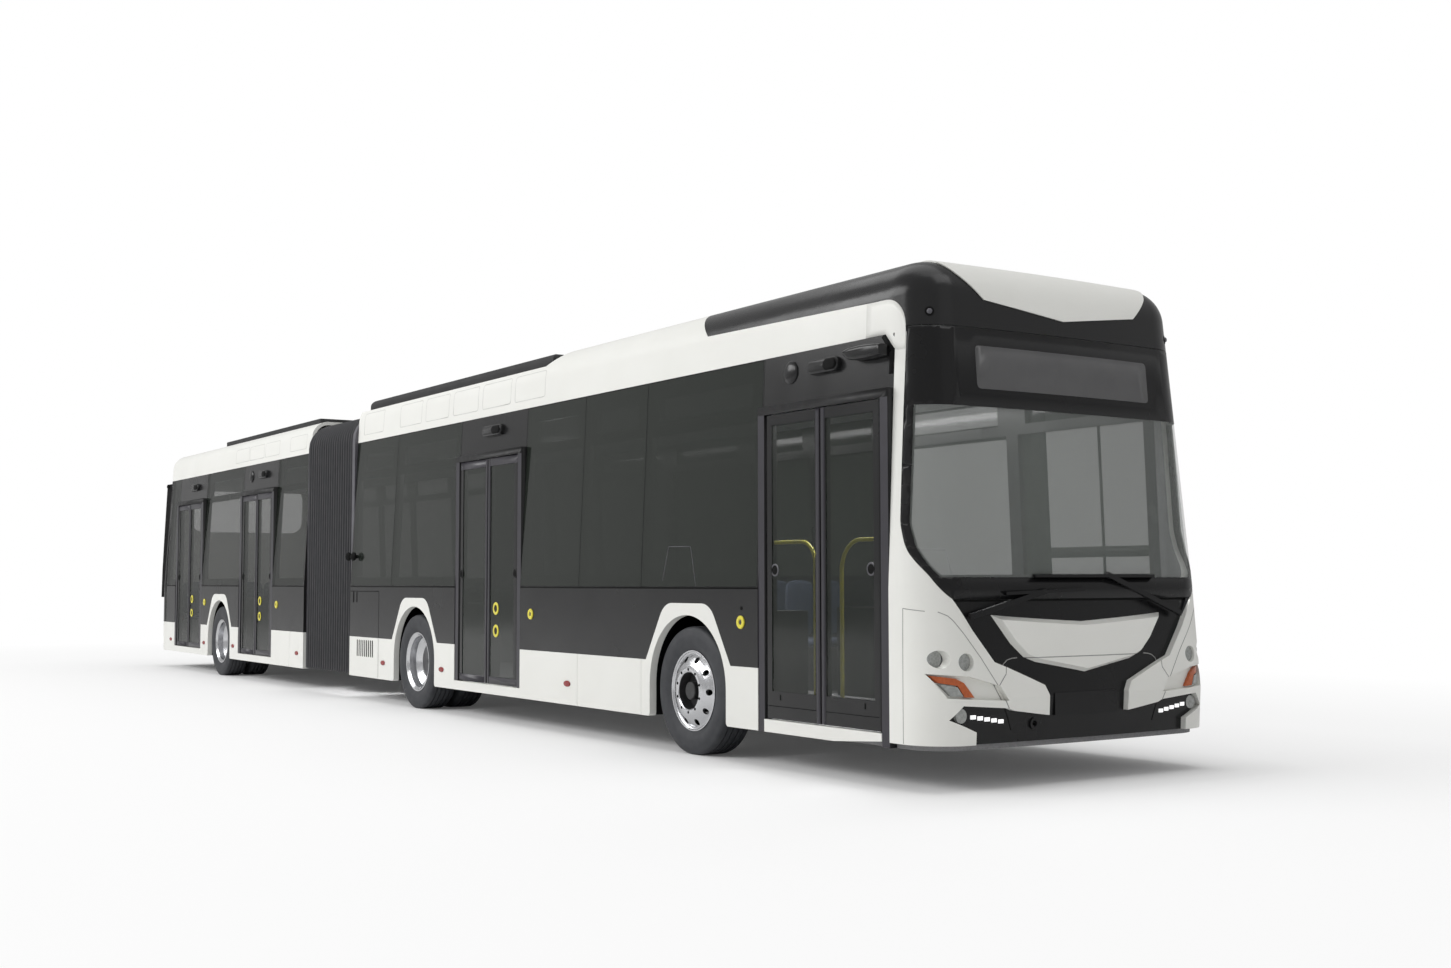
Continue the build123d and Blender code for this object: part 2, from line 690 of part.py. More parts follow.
def cheek_layer(front, back, deep):
    with BuildPart() as layer:
        add(front)
        add(back, mode=Mode.SUBTRACT)
        with BuildSketch(Plane.XZ) as side_view:
            Polygon(*cheek_side, align=None)
            bends = side_view.vertices().filter_by(lambda v: v.X < nose_x and 1250 < v.Y < 1700)
            fillet(bends, radius=screen_round)
        extrude(amount=reach, mode=Mode.INTERSECT)
        with BuildSketch(Plane.YZ.offset(mask_x)):
            Polygon(*band_outline, align=None)
            offset(amount=0.4, kind=Kind.INTERSECTION)
            with Locations((0, mask_low)):
                Rectangle(2 * 942, 60)
            with Locations((0, screen_low + 130)):
                Rectangle(2 * 1060, 280)
        extrude(amount=1000, mode=Mode.SUBTRACT)
        for lamp in head_lamps:
            with BuildSketch(Plane.YZ.offset(mask_x + 100)):
                with Locations((-lamp.y, lamp.z)):
                    Circle(lamp.r + seat_gap)
            extrude(amount=400, mode=Mode.SUBTRACT)
        if deep:
            with BuildSketch(Plane.YZ.offset(mask_x + 100)):
                Polygon(*[(-y, z) for y, z in pocket], align=None)
            extrude(amount=400, mode=Mode.SUBTRACT)
    return layer.part


cheek_face = cheek_layer(front_outer, front_recess, True)
cheek_back = cheek_layer(front_recess, front_inner, False)
with BuildPart() as cheeks:
    add(cheek_face)
    add(cheek_back)
    mirror(about=Plane.XZ)
cheeks_solid = cheeks.part

# White shield on the band, with its sides sloped back
with BuildPart() as shield:
    with BuildSketch(Plane.YZ.offset(nose_x - 100)):
        Polygon(*shield_outline, align=None)
    extrude(amount=120, taper=shield_taper)
    add(front_outer, mode=Mode.INTERSECT)
    add(front_seat, mode=Mode.SUBTRACT)
shield_solid = shield.part
with BuildPart() as front_mask:
    add(cheeks_solid)
    add(shield_solid)
front_mask.part.label = "front_mask"
export_step(front_mask.part, "parts/front_mask.step")

# Lamp lenses, indicators and the row of running lights
Led = namedtuple("Led", "y z")
running_leds = [Led(942 - 55 * n, 452 - 8.5 * n) for n in range(5)]
with BuildPart() as lenses:
    for lamp in head_lamps + [fog_lamp]:
        with BuildSketch(Plane.YZ.offset(lamp.face_x - lens_thick)):
            with Locations((-lamp.y, lamp.z)):
                Circle(lamp.r)
        extrude(amount=lens_thick)
    mirror(about=Plane.XZ)
with BuildPart() as flat_lamps:
    add(front_lens_face)
    add(front_lens_back, mode=Mode.SUBTRACT)
    with BuildSketch(Plane.YZ.offset(mask_x + 100)):
        Polygon(*[(-y, z) for y, z in indicator], align=None)
        Polygon(*[(-y, z) for y, z in side_lamp], align=None)
    extrude(amount=600, mode=Mode.INTERSECT)
    mirror(about=Plane.XZ)
with BuildPart() as leds:
    add(front_led_face)
    add(front_led_back, mode=Mode.SUBTRACT)
    with BuildSketch(Plane.YZ.offset(mask_x + 100)):
        for led in running_leds:
            with Locations((-led.y, led.z)):
                Rectangle(38, 24)
    extrude(amount=600, mode=Mode.INTERSECT)
    mirror(about=Plane.XZ)
with BuildPart() as front_lamps:
    add(lenses.part)
    add(flat_lamps.part)
    add(leds.part)
front_lamps.part.label = "front_lamps"
export_step(front_lamps.part, "parts/front_lamps.step")

# Wipers lying on the windscreen's foot, as seen from the front
Stroke = namedtuple("Stroke", "y0 z0 y1 z1 wide")
wiper_strokes = [Stroke(-973, 1061, -342, 1216, 34), Stroke(-680, 1202, -7, 1224, 20),
                 Stroke(922, 1061, 218, 1322, 34), Stroke(-431, 1312, 670, 1312, 20)]
with BuildPart() as wipers:
    add(wiper_top)
    add(wiper_foot, mode=Mode.SUBTRACT)
    with BuildSketch(Plane.YZ.offset(mask_x + 200)):
        for stroke in wiper_strokes:
            with BuildLine():
                Line((stroke.y0, stroke.z0), (stroke.y1, stroke.z1))
            trace(line_width=stroke.wide)
    extrude(amount=600, mode=Mode.INTERSECT)
wipers.part.label = "wipers"
export_step(wipers.part, "parts/wipers.step")

# Tail panel of the rear car with the seat of its window and its lamps
tail_glass_half = 960
tail_glass_low = 1990
tail_glass_high = 2815
tail_light_half = 880
tail_light_low = 2070
tail_light_high = 2780
tail_light_corner = 180
TailLamp = namedtuple("TailLamp", "y z r")
tail_lamps = [TailLamp(1010, 720, 62), TailLamp(1010, 880, 62), TailLamp(1010, 1040, 62),
              TailLamp(880, 2900, 34)]
rear_pane_back = rear_form(14)
rear_pane_seat = rear_form(14 + seat_gap)
with BuildPart() as tail_recess:
    add(rear_outer)
    add(rear_pane_seat, mode=Mode.SUBTRACT)
    with BuildSketch(Plane.YZ.offset(tail_x - 100)):
        with Locations((0, (tail_glass_low + tail_glass_high) / 2)):
            Rectangle(2 * tail_glass_half, tail_glass_high - tail_glass_low)
    extrude(amount=600, mode=Mode.INTERSECT)
with BuildPart() as tail_pane:
    add(rear_outer)
    add(rear_pane_back, mode=Mode.SUBTRACT)
    with BuildSketch(Plane.YZ.offset(tail_x - 100)):
        with Locations((0, (tail_glass_low + tail_glass_high) / 2)):
            Rectangle(2 * tail_glass_half - 6, tail_glass_high - tail_glass_low - 6)
    extrude(amount=600, mode=Mode.INTERSECT)
with BuildPart() as rear_panel:
    add(rear_outer)
    add(rear_inner, mode=Mode.SUBTRACT)
    with BuildSketch(Plane.XZ):
        with Locations(((tail_wall_x + tail_x - 100) / 2, (skirt_z + rail_z) / 2)):
            Rectangle(tail_wall_x - tail_x + 100, rail_z - skirt_z)
    extrude(amount=reach, both=True, mode=Mode.INTERSECT)
    add(tail_recess.part, mode=Mode.SUBTRACT)
    with BuildSketch(Plane.YZ.offset(tail_x - 100)):
        with Locations((0, (tail_light_low + tail_light_high) / 2)):
            RectangleRounded(2 * tail_light_half, tail_light_high - tail_light_low, tail_light_corner)
        for lamp in tail_lamps[:3]:
            with Locations((lamp.y, lamp.z), (-lamp.y, lamp.z)):
                Circle(lamp.r + seat_gap)
    extrude(amount=300, mode=Mode.SUBTRACT)
rear_panel.part.label = "rear_panel"
export_step(rear_panel.part, "parts/rear_panel.step")

lamp_proud = rear_form(-6)
lamp_back = rear_form(30)
with BuildPart() as rear_lamps:
    add(lamp_proud)
    add(lamp_back, mode=Mode.SUBTRACT)
    with BuildSketch(Plane.YZ.offset(tail_x - 100)):
        for lamp in tail_lamps[:3]:
            with Locations((lamp.y, lamp.z), (-lamp.y, lamp.z)):
                Circle(lamp.r)
    extrude(amount=300, mode=Mode.INTERSECT)
rear_lamps.part.label = "rear_lamps"
export_step(rear_lamps.part, "parts/rear_lamps.step")

with BuildPart() as rear_glass:
    add(rear_right_glass)
    add(rear_left_glass)
    add(tail_pane.part)
rear_glass.part.label = "rear_glass"
export_step(rear_glass.part, "parts/rear_glass.step")


# Wheels
def wheel_plane(x, y):
    return Plane((x, y, axle_z), x_dir=(0, 1, 0), z_dir=(1, 0, 0))


def tyre_ring(x, rows):
    with BuildPart() as tyre:
        for y in rows:
            half = tyre_width / 2
            with BuildSketch(wheel_plane(x, y)):
                with BuildLine():
                    Polyline((-95, bead_radius), (95, bead_radius), (112, lip_radius + 2))
                    ThreePointArc((112, lip_radius + 2), (half, 390), (half - 12, tyre_radius - 22))
                    ThreePointArc((half - 12, tyre_radius - 22), (half - 19, tyre_radius - 9),
                                  (half - 33, tyre_radius - 3))
                    ThreePointArc((half - 33, tyre_radius - 3), (0, tyre_radius),
                                  (33 - half, tyre_radius - 3))
                    ThreePointArc((33 - half, tyre_radius - 3), (19 - half, tyre_radius - 9),
                                  (12 - half, tyre_radius - 22))
                    ThreePointArc((12 - half, tyre_radius - 22), (-half, 390), (-112, lip_radius + 2))
                    Line((-112, lip_radius + 2), (-95, bead_radius))
                make_face()
            revolve(axis=Axis((x, 0, axle_z), (0, 1, 0)))
    return tyre.part


# Rim section as distance outward from the wheel's middle and radius; s turns it to either side
seat_radius = bead_radius - seat_gap
hub_bore = 46
hub_wall = 138
front_rim_section = [(-95, seat_radius), (95, seat_radius), (110, lip_radius), (118, lip_radius), (118, 290),
                     (108, 284), (104, 276), (106, 268), (124, 246), (142, 215), (153, 185), (158, 165),
                     (158, 146), (152, hub_wall), (60, hub_wall), (60, 62), (134, 62), (140, 56), (140, 0),
                     (133, 0), (133, hub_bore), (40, hub_bore), (40, 150), (140, 150), (136, 185), (125, 212),
                     (107, 240), (88, 262), (-110, 262), (-118, lip_radius - 12), (-118, lip_radius),
                     (-110, lip_radius)]
twin_rim_section = [(-95, seat_radius), (95, seat_radius), (110, lip_radius), (118, lip_radius),
                    (118, lip_radius - 12), (96, 258), (30, 250), (-8, 188), (-13, 177), (-13, 0), (-22, 0),
                    (-22, hub_bore), (-200, hub_bore), (-200, 190), (-160, 205), (-160, 262), (-118, 272),
                    (-118, lip_radius), (-110, lip_radius)]


def rim_ring(x, y, side, section, holes, hole_radius, hole_circle):
    with BuildPart() as rim:
        with BuildSketch(wheel_plane(x, y)):
            Polygon(*[(side * dy, r) for dy, r in section], align=None)
        revolve(axis=Axis((x, 0, axle_z), (0, 1, 0)))
        with Locations(Plane((x, y, axle_z), x_dir=(1, 0, 0), z_dir=(0, side, 0))):
            with PolarLocations(hole_circle, holes):
                Cylinder(hole_radius, 500, mode=Mode.SUBTRACT)
    return rim.part


for side, name in ((-1, "right"), (1, "left")):
    tyre = tyre_ring(axle_1, [side * front_wheel_y])
    tyre.label = "front_tyre_" + name
    export_step(tyre, "parts/front_tyre_" + name + ".step")
    rim = rim_ring(axle_1, side * front_wheel_y, side, front_rim_section, 10, 23, 238)
    rim.label = "front_rim_" + name
    export_step(rim, "parts/front_rim_" + name + ".step")
    for axle, where in ((axle_2, "mid"), (axle_3, "rear")):
        twins = tyre_ring(axle, [side * twin_outer_y, side * twin_inner_y])
        twins.label = where + "_tyres_" + name
        export_step(twins, "parts/" + where + "_tyres_" + name + ".step")
        outer_rim = rim_ring(axle, side * twin_outer_y, side, twin_rim_section, 10, 11, 150)
        with BuildPart() as inner_rim:
            with BuildSketch(wheel_plane(axle, side * twin_inner_y)):
                Polygon(*[(side * dy, r) for dy, r in
                          [(-95, seat_radius), (95, seat_radius), (110, lip_radius), (118, lip_radius),
                           (118, 272), (150, 262), (150, 190), (130, 190), (130, 250), (-110, 262),
                           (-118, lip_radius - 12), (-118, lip_radius), (-110, lip_radius)]], align=None)
            revolve(axis=Axis((axle, 0, axle_z), (0, 1, 0)))
        with BuildPart() as rims:
            add(outer_rim)
            add(inner_rim.part)
        rims.part.label = where + "_rims_" + name
        export_step(rims.part, "parts/" + where + "_rims_" + name + ".step")

# Front axle beam with an eye for each kingpin, and the steering knuckles
beam_z = 195
eye_radius = 46
kingpin_radius = 25
with BuildPart() as front_axle:
    with Locations((axle_1, 0, beam_z)):
        Box(150, 1240, 90)
    for side in (-1, 1):
        with BuildSketch(Plane.YZ.offset(axle_1 - 60)):
            Polygon(*[(side * y, z) for y, z in [(560, beam_z - 45), (700, beam_z - 45), (900, 425),
                                                 (kingpin_y, 425), (kingpin_y, 515), (860, 515),
                                                 (650, beam_z + 45), (560, beam_z + 45)]], align=None)
        extrude(amount=120)
        with Locations((axle_1, side * kingpin_y, axle_z)):
            Cylinder(eye_radius + 14, 90)
        with Locations((axle_1 - 250, side * 450, 195)):
            Cylinder(60, 2 * (skirt_z - seat_gap - 195))
        with Locations((axle_1 - 160, side * 450, 180)):
            Box(240, 110, 50)
    for side in (-1, 1):
        with Locations((axle_1, side * kingpin_y, axle_z)):
            Cylinder(kingpin_radius + pin_clear, 200, mode=Mode.SUBTRACT)
front_axle.part.label = "front_axle"
export_step(front_axle.part, "parts/front_axle.step")

for side, name in ((-1, "right"), (1, "left")):
    with BuildPart() as knuckle:
        with Locations((axle_1, side * kingpin_y, axle_z)):
            Cylinder(kingpin_radius, 170)
        with Locations((axle_1, side * (kingpin_y + 10), axle_z + 70),
                       (axle_1, side * (kingpin_y + 10), axle_z - 70)):
            Box(100, 110, 34)
        with Locations((axle_1, side * (kingpin_y + 78), axle_z)):
            Box(100, 30, 174)
        with BuildSketch(Plane.XZ.offset(-side * (kingpin_y + 60))):
            with Locations((axle_1, axle_z)):
                Circle(hub_bore - pin_clear)
        extrude(amount=-side * 150)
        with Locations((axle_1 - 100, side * (kingpin_y - 25), axle_z - 76)):
            Box(180, 60, 22)
    knuckle.part.label = "knuckle_" + name
    export_step(knuckle.part, "parts/knuckle_" + name + ".step")


# Drop axles of the twin wheels, with a stub for each hub and two air springs
def drop_axle(x):
    with BuildPart() as axle:
        with Locations((x, 0, beam_z)):
            Box(170, 1100, 90)
        for side in (-1, 1):
            with BuildSketch(Plane.YZ.offset(x - 85)):
                Polygon(*[(side * y, z) for y, z in [(540, beam_z - 45), (645, beam_z - 45), (645, 560),
                                                     (625, 560), (625, beam_z + 45),
                                                     (540, beam_z + 45)]], align=None)
            extrude(amount=170)
            with BuildSketch(Plane.XZ.offset(-side * 620)):
                with Locations((x, axle_z)):
                    Circle(hub_bore - pin_clear)
            extrude(amount=-side * 466)
            with Locations((x - 320, side * 420, 190)):
                Cylinder(75, 2 * (skirt_z - seat_gap - 190))
            with Locations((x - 200, side * 420, 180)):
                Box(320, 120, 50)
    return axle.part


mid_axle_solid = drop_axle(axle_2)
with BuildPart() as mid_axle:
    add(mid_axle_solid)
mid_axle.part.label = "mid_axle"
export_step(mid_axle.part, "parts/mid_axle.step")

rear_axle_solid = drop_axle(axle_3)
with BuildPart() as rear_axle:
    add(rear_axle_solid)
rear_axle.part.label = "rear_axle"
export_step(rear_axle.part, "parts/rear_axle.step")

# Turntable in the joint: a ring plate on the front car and a disc with a tongue on the rear car
disc_radius = joint_gap / 2 - 40
with BuildPart() as joint_plate:
    with Locations(((front_end + pivot_x) / 2, 0, 195)):
        Box(front_end - pivot_x, 700, 60)
    with Locations((pivot_x, 0, 195)):
        Cylinder(350, 60)
    with Locations((pivot_x, 0, 250)):
        Cylinder(120, 110)
    with Locations((front_end + 40, 0, 207)):
        Box(240, 700, 2 * (skirt_z - seat_gap - 207))
joint_plate.part.label = "joint_plate"
export_step(joint_plate.part, "parts/joint_plate.step")

with BuildPart() as turntable:
    with Locations((pivot_x, 0, 285)):
        Cylinder(disc_radius, 70)
    with Locations(((rear_start + pivot_x) / 2, 0, 285)):
        Box(pivot_x - rear_start - 2 * seat_gap, 1000, 70)
    with Locations((pivot_x, 0, 285)):
        Cylinder(120 + pin_clear, 200, mode=Mode.SUBTRACT)
turntable.part.label = "turntable"
export_step(turntable.part, "parts/turntable.step")

# Folding bellows round the joint, pleat by pleat
pleats = 19
pleat_deep = 60
bellows_half = 1240
bellows_low = 262
bellows_top = 3170
bellows_corner = 290
bellows_thick = 110
bellows_end = 0.3
fold_length = (joint_gap - 2 * bellows_end) / (2 * pleats)
with BuildPart() as bellows:
    for fold in range(2 * pleats + 1):
        shrink = pleat_deep if fold % 2 == 0 else 0
        low = bellows_low + shrink
        high = bellows_top - shrink
        with BuildSketch(Plane.YZ.offset(rear_start + bellows_end + fold * fold_length)):
            with Locations((0, (low + high) / 2)):
                RectangleRounded(2 * (bellows_half - shrink), high - low, bellows_corner - shrink)
    loft(ruled=True)
    with BuildSketch(Plane.YZ.offset(rear_start - 10)):
        with Locations((0, (bellows_low + bellows_top) / 2)):
            RectangleRounded(2 * (bellows_half - bellows_thick),
                             bellows_top - bellows_low - 2 * bellows_thick,
                             bellows_corner - bellows_thick)
    extrude(amount=joint_gap + 20, mode=Mode.SUBTRACT)
    with Locations((pivot_x, 0, bellows_low)):
        Box(joint_gap + 20, 2 * (bellows_half - bellows_thick), 400, mode=Mode.SUBTRACT)
bellows.part.label = "bellows"
export_step(bellows.part, "parts/bellows.step")

# Camera pods on short arms beside the top of the windscreen, in place of mirrors
pod_x = mask_x - 250
pod_z = 2736
pod_long = 420
pod_high = 88
pod_y = 1330
with BuildPart() as front_cameras:
    for side in (-1, 1):
        with BuildSketch(Plane.XZ.offset(-side * (half_at(pod_z - pod_high / 2) + seat_gap))):
            with Locations((pod_x, pod_z)):
                SlotOverall(pod_long, pod_high)
        extrude(amount=-side * (pod_y - half_at(pod_z - pod_high / 2) - seat_gap))
front_cameras.part.label = "front_cameras"
export_step(front_cameras.part, "parts/front_cameras.step")


# Seats: x of the cushion's middle, y of the row's middle, width of the row, facing (+1 forward)
Seat = namedtuple("Seat", "x y wide facing")
front_seat_rows = [
    Seat(axle_1 - 1100, 860, 620, 1), Seat(axle_1 - 1900, 860, 620, 1), Seat(axle_1 - 2700, 860, 620, 1),
    Seat(axle_2 + 1900, 860, 620, 1), Seat(axle_2 + 1100, 860, 620, 1), Seat(axle_2 - 1100, 860, 620, 1),
    Seat(axle_1 - 1100, -860, 620, 1), Seat(axle_1 - 1900, -860, 620, 1), Seat(axle_2 - 1100, -860, 620, 1)]
rear_seat_rows = [
    Seat(axle_3 + 2900, 860, 620, 1), Seat(axle_3 + 2100, 860, 620, 1), Seat(axle_3 + 1300, 860, 620, 1),
    Seat(axle_3 - 1100, 860, 620, 1), Seat(axle_3 - 1900, 860, 620, 1), Seat(tail_x + 480, 0, 2100, 1)]
cushion_z = 420
cushion_thick = 90
seat_deep = 430
back_high = 540
back_thick = 60


def seat_set(rows):
    with BuildPart() as seats:
        for row in rows:
            with Locations((row.x, row.y, floor_z + cushion_z)):
                Box(seat_deep, row.wide, cushion_thick)
            back_x = row.x - row.facing * (seat_deep - back_thick) / 2
            with Locations((back_x, row.y, floor_z + cushion_z + back_high / 2)):
                Box(back_thick, row.wide, back_high)
            with Locations((row.x, row.y, floor_z + seat_gap + cushion_z / 2)):
                Box(seat_deep * 0.6, row.wide * 0.5, cushion_z - 2 * seat_gap)
    return seats.part


front_seat_solids = seat_set(front_seat_rows)
with BuildPart() as front_seats:
    add(front_seat_solids)
front_seats.part.label = "front_seats"
export_step(front_seats.part, "parts/front_seats.step")

rear_seat_solids = seat_set(rear_seat_rows)
with BuildPart() as rear_seats:
    add(rear_seat_solids)
rear_seats.part.label = "rear_seats"
export_step(rear_seats.part, "parts/rear_seats.step")

# Driver's place: podium, dashboard, seat, wheel and the low partition behind it
cab_back_x = axle_1 + 835
cab_inner_y = 260
cab_outer_y = half_at(belt_z) - wall_thick - 8
podium_high = 120
podium_top = floor_z + podium_high
partition_top = 1290
driver_y = 700
driver_seat_z = 790
driver_back_top = 1280
dash_x = nose_x - 700
wheel_z = 1030
with BuildPart() as cab:
    with Locations(((cab_back_x + dash_x) / 2, (cab_inner_y + cab_outer_y) / 2,
                    floor_z + seat_gap + podium_high / 2)):
        Box(dash_x - cab_back_x, cab_outer_y - cab_inner_y, podium_high)
    with BuildSketch(Plane.XZ.offset(-cab_inner_y)):
        Polygon((dash_x - 20, floor_z + seat_gap), (dash_x + 380, floor_z + seat_gap), (dash_x + 380, 1130),
                (dash_x + 120, 1150), (dash_x - 80, 1060), (dash_x - 20, 900), align=None)
    extrude(amount=-(820 - cab_inner_y))
    with Locations((cab_back_x + 25, (cab_inner_y + cab_outer_y) / 2 - 40,
                    (floor_z + 40 + partition_top) / 2)):
        Box(50, cab_outer_y - cab_inner_y - 80, partition_top - floor_z - 40)
    with Locations((cab_back_x + 560, driver_y, driver_seat_z)):
        Box(470, 480, 110)
    with Locations((cab_back_x + 360, driver_y, (driver_seat_z + driver_back_top) / 2)):
        Box(100, 480, driver_back_top - driver_seat_z)
    with Locations((cab_back_x + 560, driver_y, (podium_top - 20 + driver_seat_z) / 2)):
        Box(260, 260, driver_seat_z - podium_top + 20)
    with Locations(Plane((dash_x - 150, driver_y, wheel_z), x_dir=(0, 1, 0), z_dir=(-0.75, 0, 0.66))):
        Torus(225, 16)
        Box(430, 36, 20)
    with Locations(Plane((dash_x - 100, driver_y, wheel_z - 50), x_dir=(0, 1, 0), z_dir=(-0.75, 0, 0.66))):
        Cylinder(30, 170)
cab.part.label = "cab"
export_step(cab.part, "parts/cab.step")
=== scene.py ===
from math import atan2, cos, hypot, pi, radians, sin

import bmesh
import bpy
from mathutils import Matrix, Vector
from mathutils.bvhtree import BVHTree


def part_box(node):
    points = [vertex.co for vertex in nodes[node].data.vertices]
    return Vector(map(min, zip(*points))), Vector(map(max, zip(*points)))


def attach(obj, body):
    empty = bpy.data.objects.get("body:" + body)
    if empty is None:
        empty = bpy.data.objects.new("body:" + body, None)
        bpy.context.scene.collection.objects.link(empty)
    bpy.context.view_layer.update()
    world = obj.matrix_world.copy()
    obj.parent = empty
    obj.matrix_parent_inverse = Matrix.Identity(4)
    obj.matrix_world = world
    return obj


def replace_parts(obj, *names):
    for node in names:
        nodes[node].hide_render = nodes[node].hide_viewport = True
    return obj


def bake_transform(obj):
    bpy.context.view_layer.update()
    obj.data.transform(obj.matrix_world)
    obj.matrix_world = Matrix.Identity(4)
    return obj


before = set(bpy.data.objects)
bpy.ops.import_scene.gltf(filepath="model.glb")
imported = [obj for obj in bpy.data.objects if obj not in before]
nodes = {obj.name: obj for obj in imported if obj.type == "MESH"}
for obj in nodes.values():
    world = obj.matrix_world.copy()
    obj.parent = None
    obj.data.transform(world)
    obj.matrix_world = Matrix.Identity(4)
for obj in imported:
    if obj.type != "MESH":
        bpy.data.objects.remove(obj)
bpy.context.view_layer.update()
scene = bpy.context.scene


# Materials

def new_material(name, look, *values):
    mat = bpy.data.materials.new(name)
    mat.use_nodes = True
    look(mat, *values)
    return mat


def set_look(mat, color, roughness, metallic=0.0, specular=0.5, coat=0.0, alpha=1.0):
    shader = mat.node_tree.nodes["Principled BSDF"]
    shader.inputs["Base Color"].default_value = (*color, 1.0)
    shader.inputs["Roughness"].default_value = roughness
    shader.inputs["Metallic"].default_value = metallic
    shader.inputs["Specular IOR Level"].default_value = specular
    shader.inputs["Coat Weight"].default_value = coat
    shader.inputs["Coat Roughness"].default_value = 0.08
    shader.inputs["Alpha"].default_value = alpha


def texture_input(mat, node_type, **sockets):
    tree = mat.node_tree
    coords = tree.nodes.get("Texture Coordinate") or tree.nodes.new("ShaderNodeTexCoord")
    texture = tree.nodes.new(node_type)
    for socket, value in sockets.items():
        texture.inputs[socket].default_value = value
    tree.links.new(coords.outputs["Object"], texture.inputs["Vector"])
    return texture


def vary_color(mat, low, high, scale):
    tree = mat.node_tree
    noise = texture_input(mat, "ShaderNodeTexNoise", Scale=scale, Detail=4.0)
    ramp = tree.nodes.new("ShaderNodeValToRGB")
    ramp.color_ramp.elements[0].position = 0.35
    ramp.color_ramp.elements[0].color = (*low, 1.0)
    ramp.color_ramp.elements[1].position = 0.65
    ramp.color_ramp.elements[1].color = (*high, 1.0)
    tree.links.new(noise.outputs["Fac"], ramp.inputs["Fac"])
    tree.links.new(ramp.outputs["Color"], tree.nodes["Principled BSDF"].inputs["Base Color"])


def vary_roughness(mat, low, high, scale):
    tree = mat.node_tree
    noise = texture_input(mat, "ShaderNodeTexNoise", Scale=scale, Detail=3.0)
    spread = tree.nodes.new("ShaderNodeMapRange")
    spread.inputs["From Min"].default_value = 0.3
    spread.inputs["From Max"].default_value = 0.7
    spread.inputs["To Min"].default_value = low
    spread.inputs["To Max"].default_value = high
    tree.links.new(noise.outputs["Fac"], spread.inputs["Value"])
    tree.links.new(spread.outputs["Result"], tree.nodes["Principled BSDF"].inputs["Roughness"])


def add_bump(mat, scale, strength, distance, node_type="ShaderNodeTexNoise"):
    tree = mat.node_tree
    texture = texture_input(mat, node_type, Scale=scale)
    bump = tree.nodes.new("ShaderNodeBump")
    bump.inputs["Strength"].default_value = strength
    bump.inputs["Distance"].default_value = distance
    tree.links.new(texture.outputs[0], bump.inputs["Height"])
    tree.links.new(bump.outputs["Normal"], tree.nodes["Principled BSDF"].inputs["Normal"])


def white_paint(mat):
    set_look(mat, (0.80, 0.80, 0.765), 0.38, specular=0.32, coat=0.1)
    vary_color(mat, (0.79, 0.79, 0.752), (0.81, 0.81, 0.775), 1.6)
    add_bump(mat, 260.0, 0.03, 0.001)


def black_panel(mat):
    set_look(mat, (0.013, 0.013, 0.0135), 0.22, specular=0.33)
    vary_roughness(mat, 0.18, 0.28, 2.2)


def roof_black(mat):
    set_look(mat, (0.03, 0.03, 0.031), 0.55, specular=0.2)
    vary_color(mat, (0.027, 0.027, 0.028), (0.034, 0.034, 0.035), 6.0)
    add_bump(mat, 240.0, 0.05, 0.001)


def black_front(mat):
    set_look(mat, (0.008, 0.008, 0.0085), 0.24, specular=0.25)
    vary_roughness(mat, 0.2, 0.3, 3.0)


# How much of the light behind it each kind of tinted pane keeps back
pane_tints = {"side_glass": 0.84, "driver_glass": 0.54, "rear_side_glass": 0.52, "tail_glass": 0.25,
              "joint_glass": 0.76, "door_glass": 0.52}


def tinted_glass(mat, tint):
    set_look(mat, (0.016, 0.020, 0.016), 0.06, specular=0.45, alpha=tint)
    vary_roughness(mat, 0.04, 0.09, 1.4)


def screen_glass(mat):
    set_look(mat, (0.23, 0.245, 0.234), 0.05, specular=0.3, alpha=0.29)
    vary_roughness(mat, 0.03, 0.07, 1.4)


def door_rubber(mat):
    set_look(mat, (0.026, 0.024, 0.031), 0.34)
    vary_color(mat, (0.024, 0.022, 0.029), (0.028, 0.026, 0.034), 7.0)
    add_bump(mat, 420.0, 0.08, 0.001)


def floor_grey(mat):
    set_look(mat, (0.20, 0.20, 0.205), 0.7)
    vary_color(mat, (0.18, 0.18, 0.185), (0.22, 0.22, 0.225), 60.0)
    add_bump(mat, 180.0, 0.1, 0.001)


def lining_grey(mat):
    set_look(mat, (0.42, 0.43, 0.42), 0.6)
    vary_color(mat, (0.40, 0.41, 0.40), (0.44, 0.45, 0.44), 8.0)
    add_bump(mat, 300.0, 0.06, 0.001)


def tyre(mat):
    set_look(mat, (0.030, 0.032, 0.037), 0.62)
    vary_color(mat, (0.026, 0.028, 0.033), (0.036, 0.038, 0.043), 14.0)
    add_bump(mat, 220.0, 0.12, 0.001)


def rim_alloy(mat):
    set_look(mat, (0.60, 0.605, 0.62), 0.2, metallic=1.0)
    vary_roughness(mat, 0.15, 0.27, 30.0)


def axle_iron(mat):
    set_look(mat, (0.045, 0.045, 0.05), 0.6, metallic=0.4)
    vary_color(mat, (0.038, 0.038, 0.042), (0.055, 0.055, 0.06), 20.0)
    add_bump(mat, 90.0, 0.25, 0.002)


def bellows_rubber(mat):
    set_look(mat, (0.022, 0.022, 0.024), 0.6)
    vary_color(mat, (0.020, 0.020, 0.022), (0.024, 0.024, 0.026), 11.0)
    add_bump(mat, 500.0, 0.1, 0.001)


# Painted highlight: a lighter grey for the bellows' ridge tips, where light would catch the pleats
def ridge_grey(mat):
    set_look(mat, (0.065, 0.065, 0.07), 0.5)
    vary_color(mat, (0.06, 0.06, 0.065), (0.07, 0.07, 0.075), 11.0)


def lamp_clear(mat):
    set_look(mat, (0.62, 0.63, 0.64), 0.08, specular=0.6)
    vary_color(mat, (0.56, 0.57, 0.58), (0.68, 0.69, 0.70), 45.0)


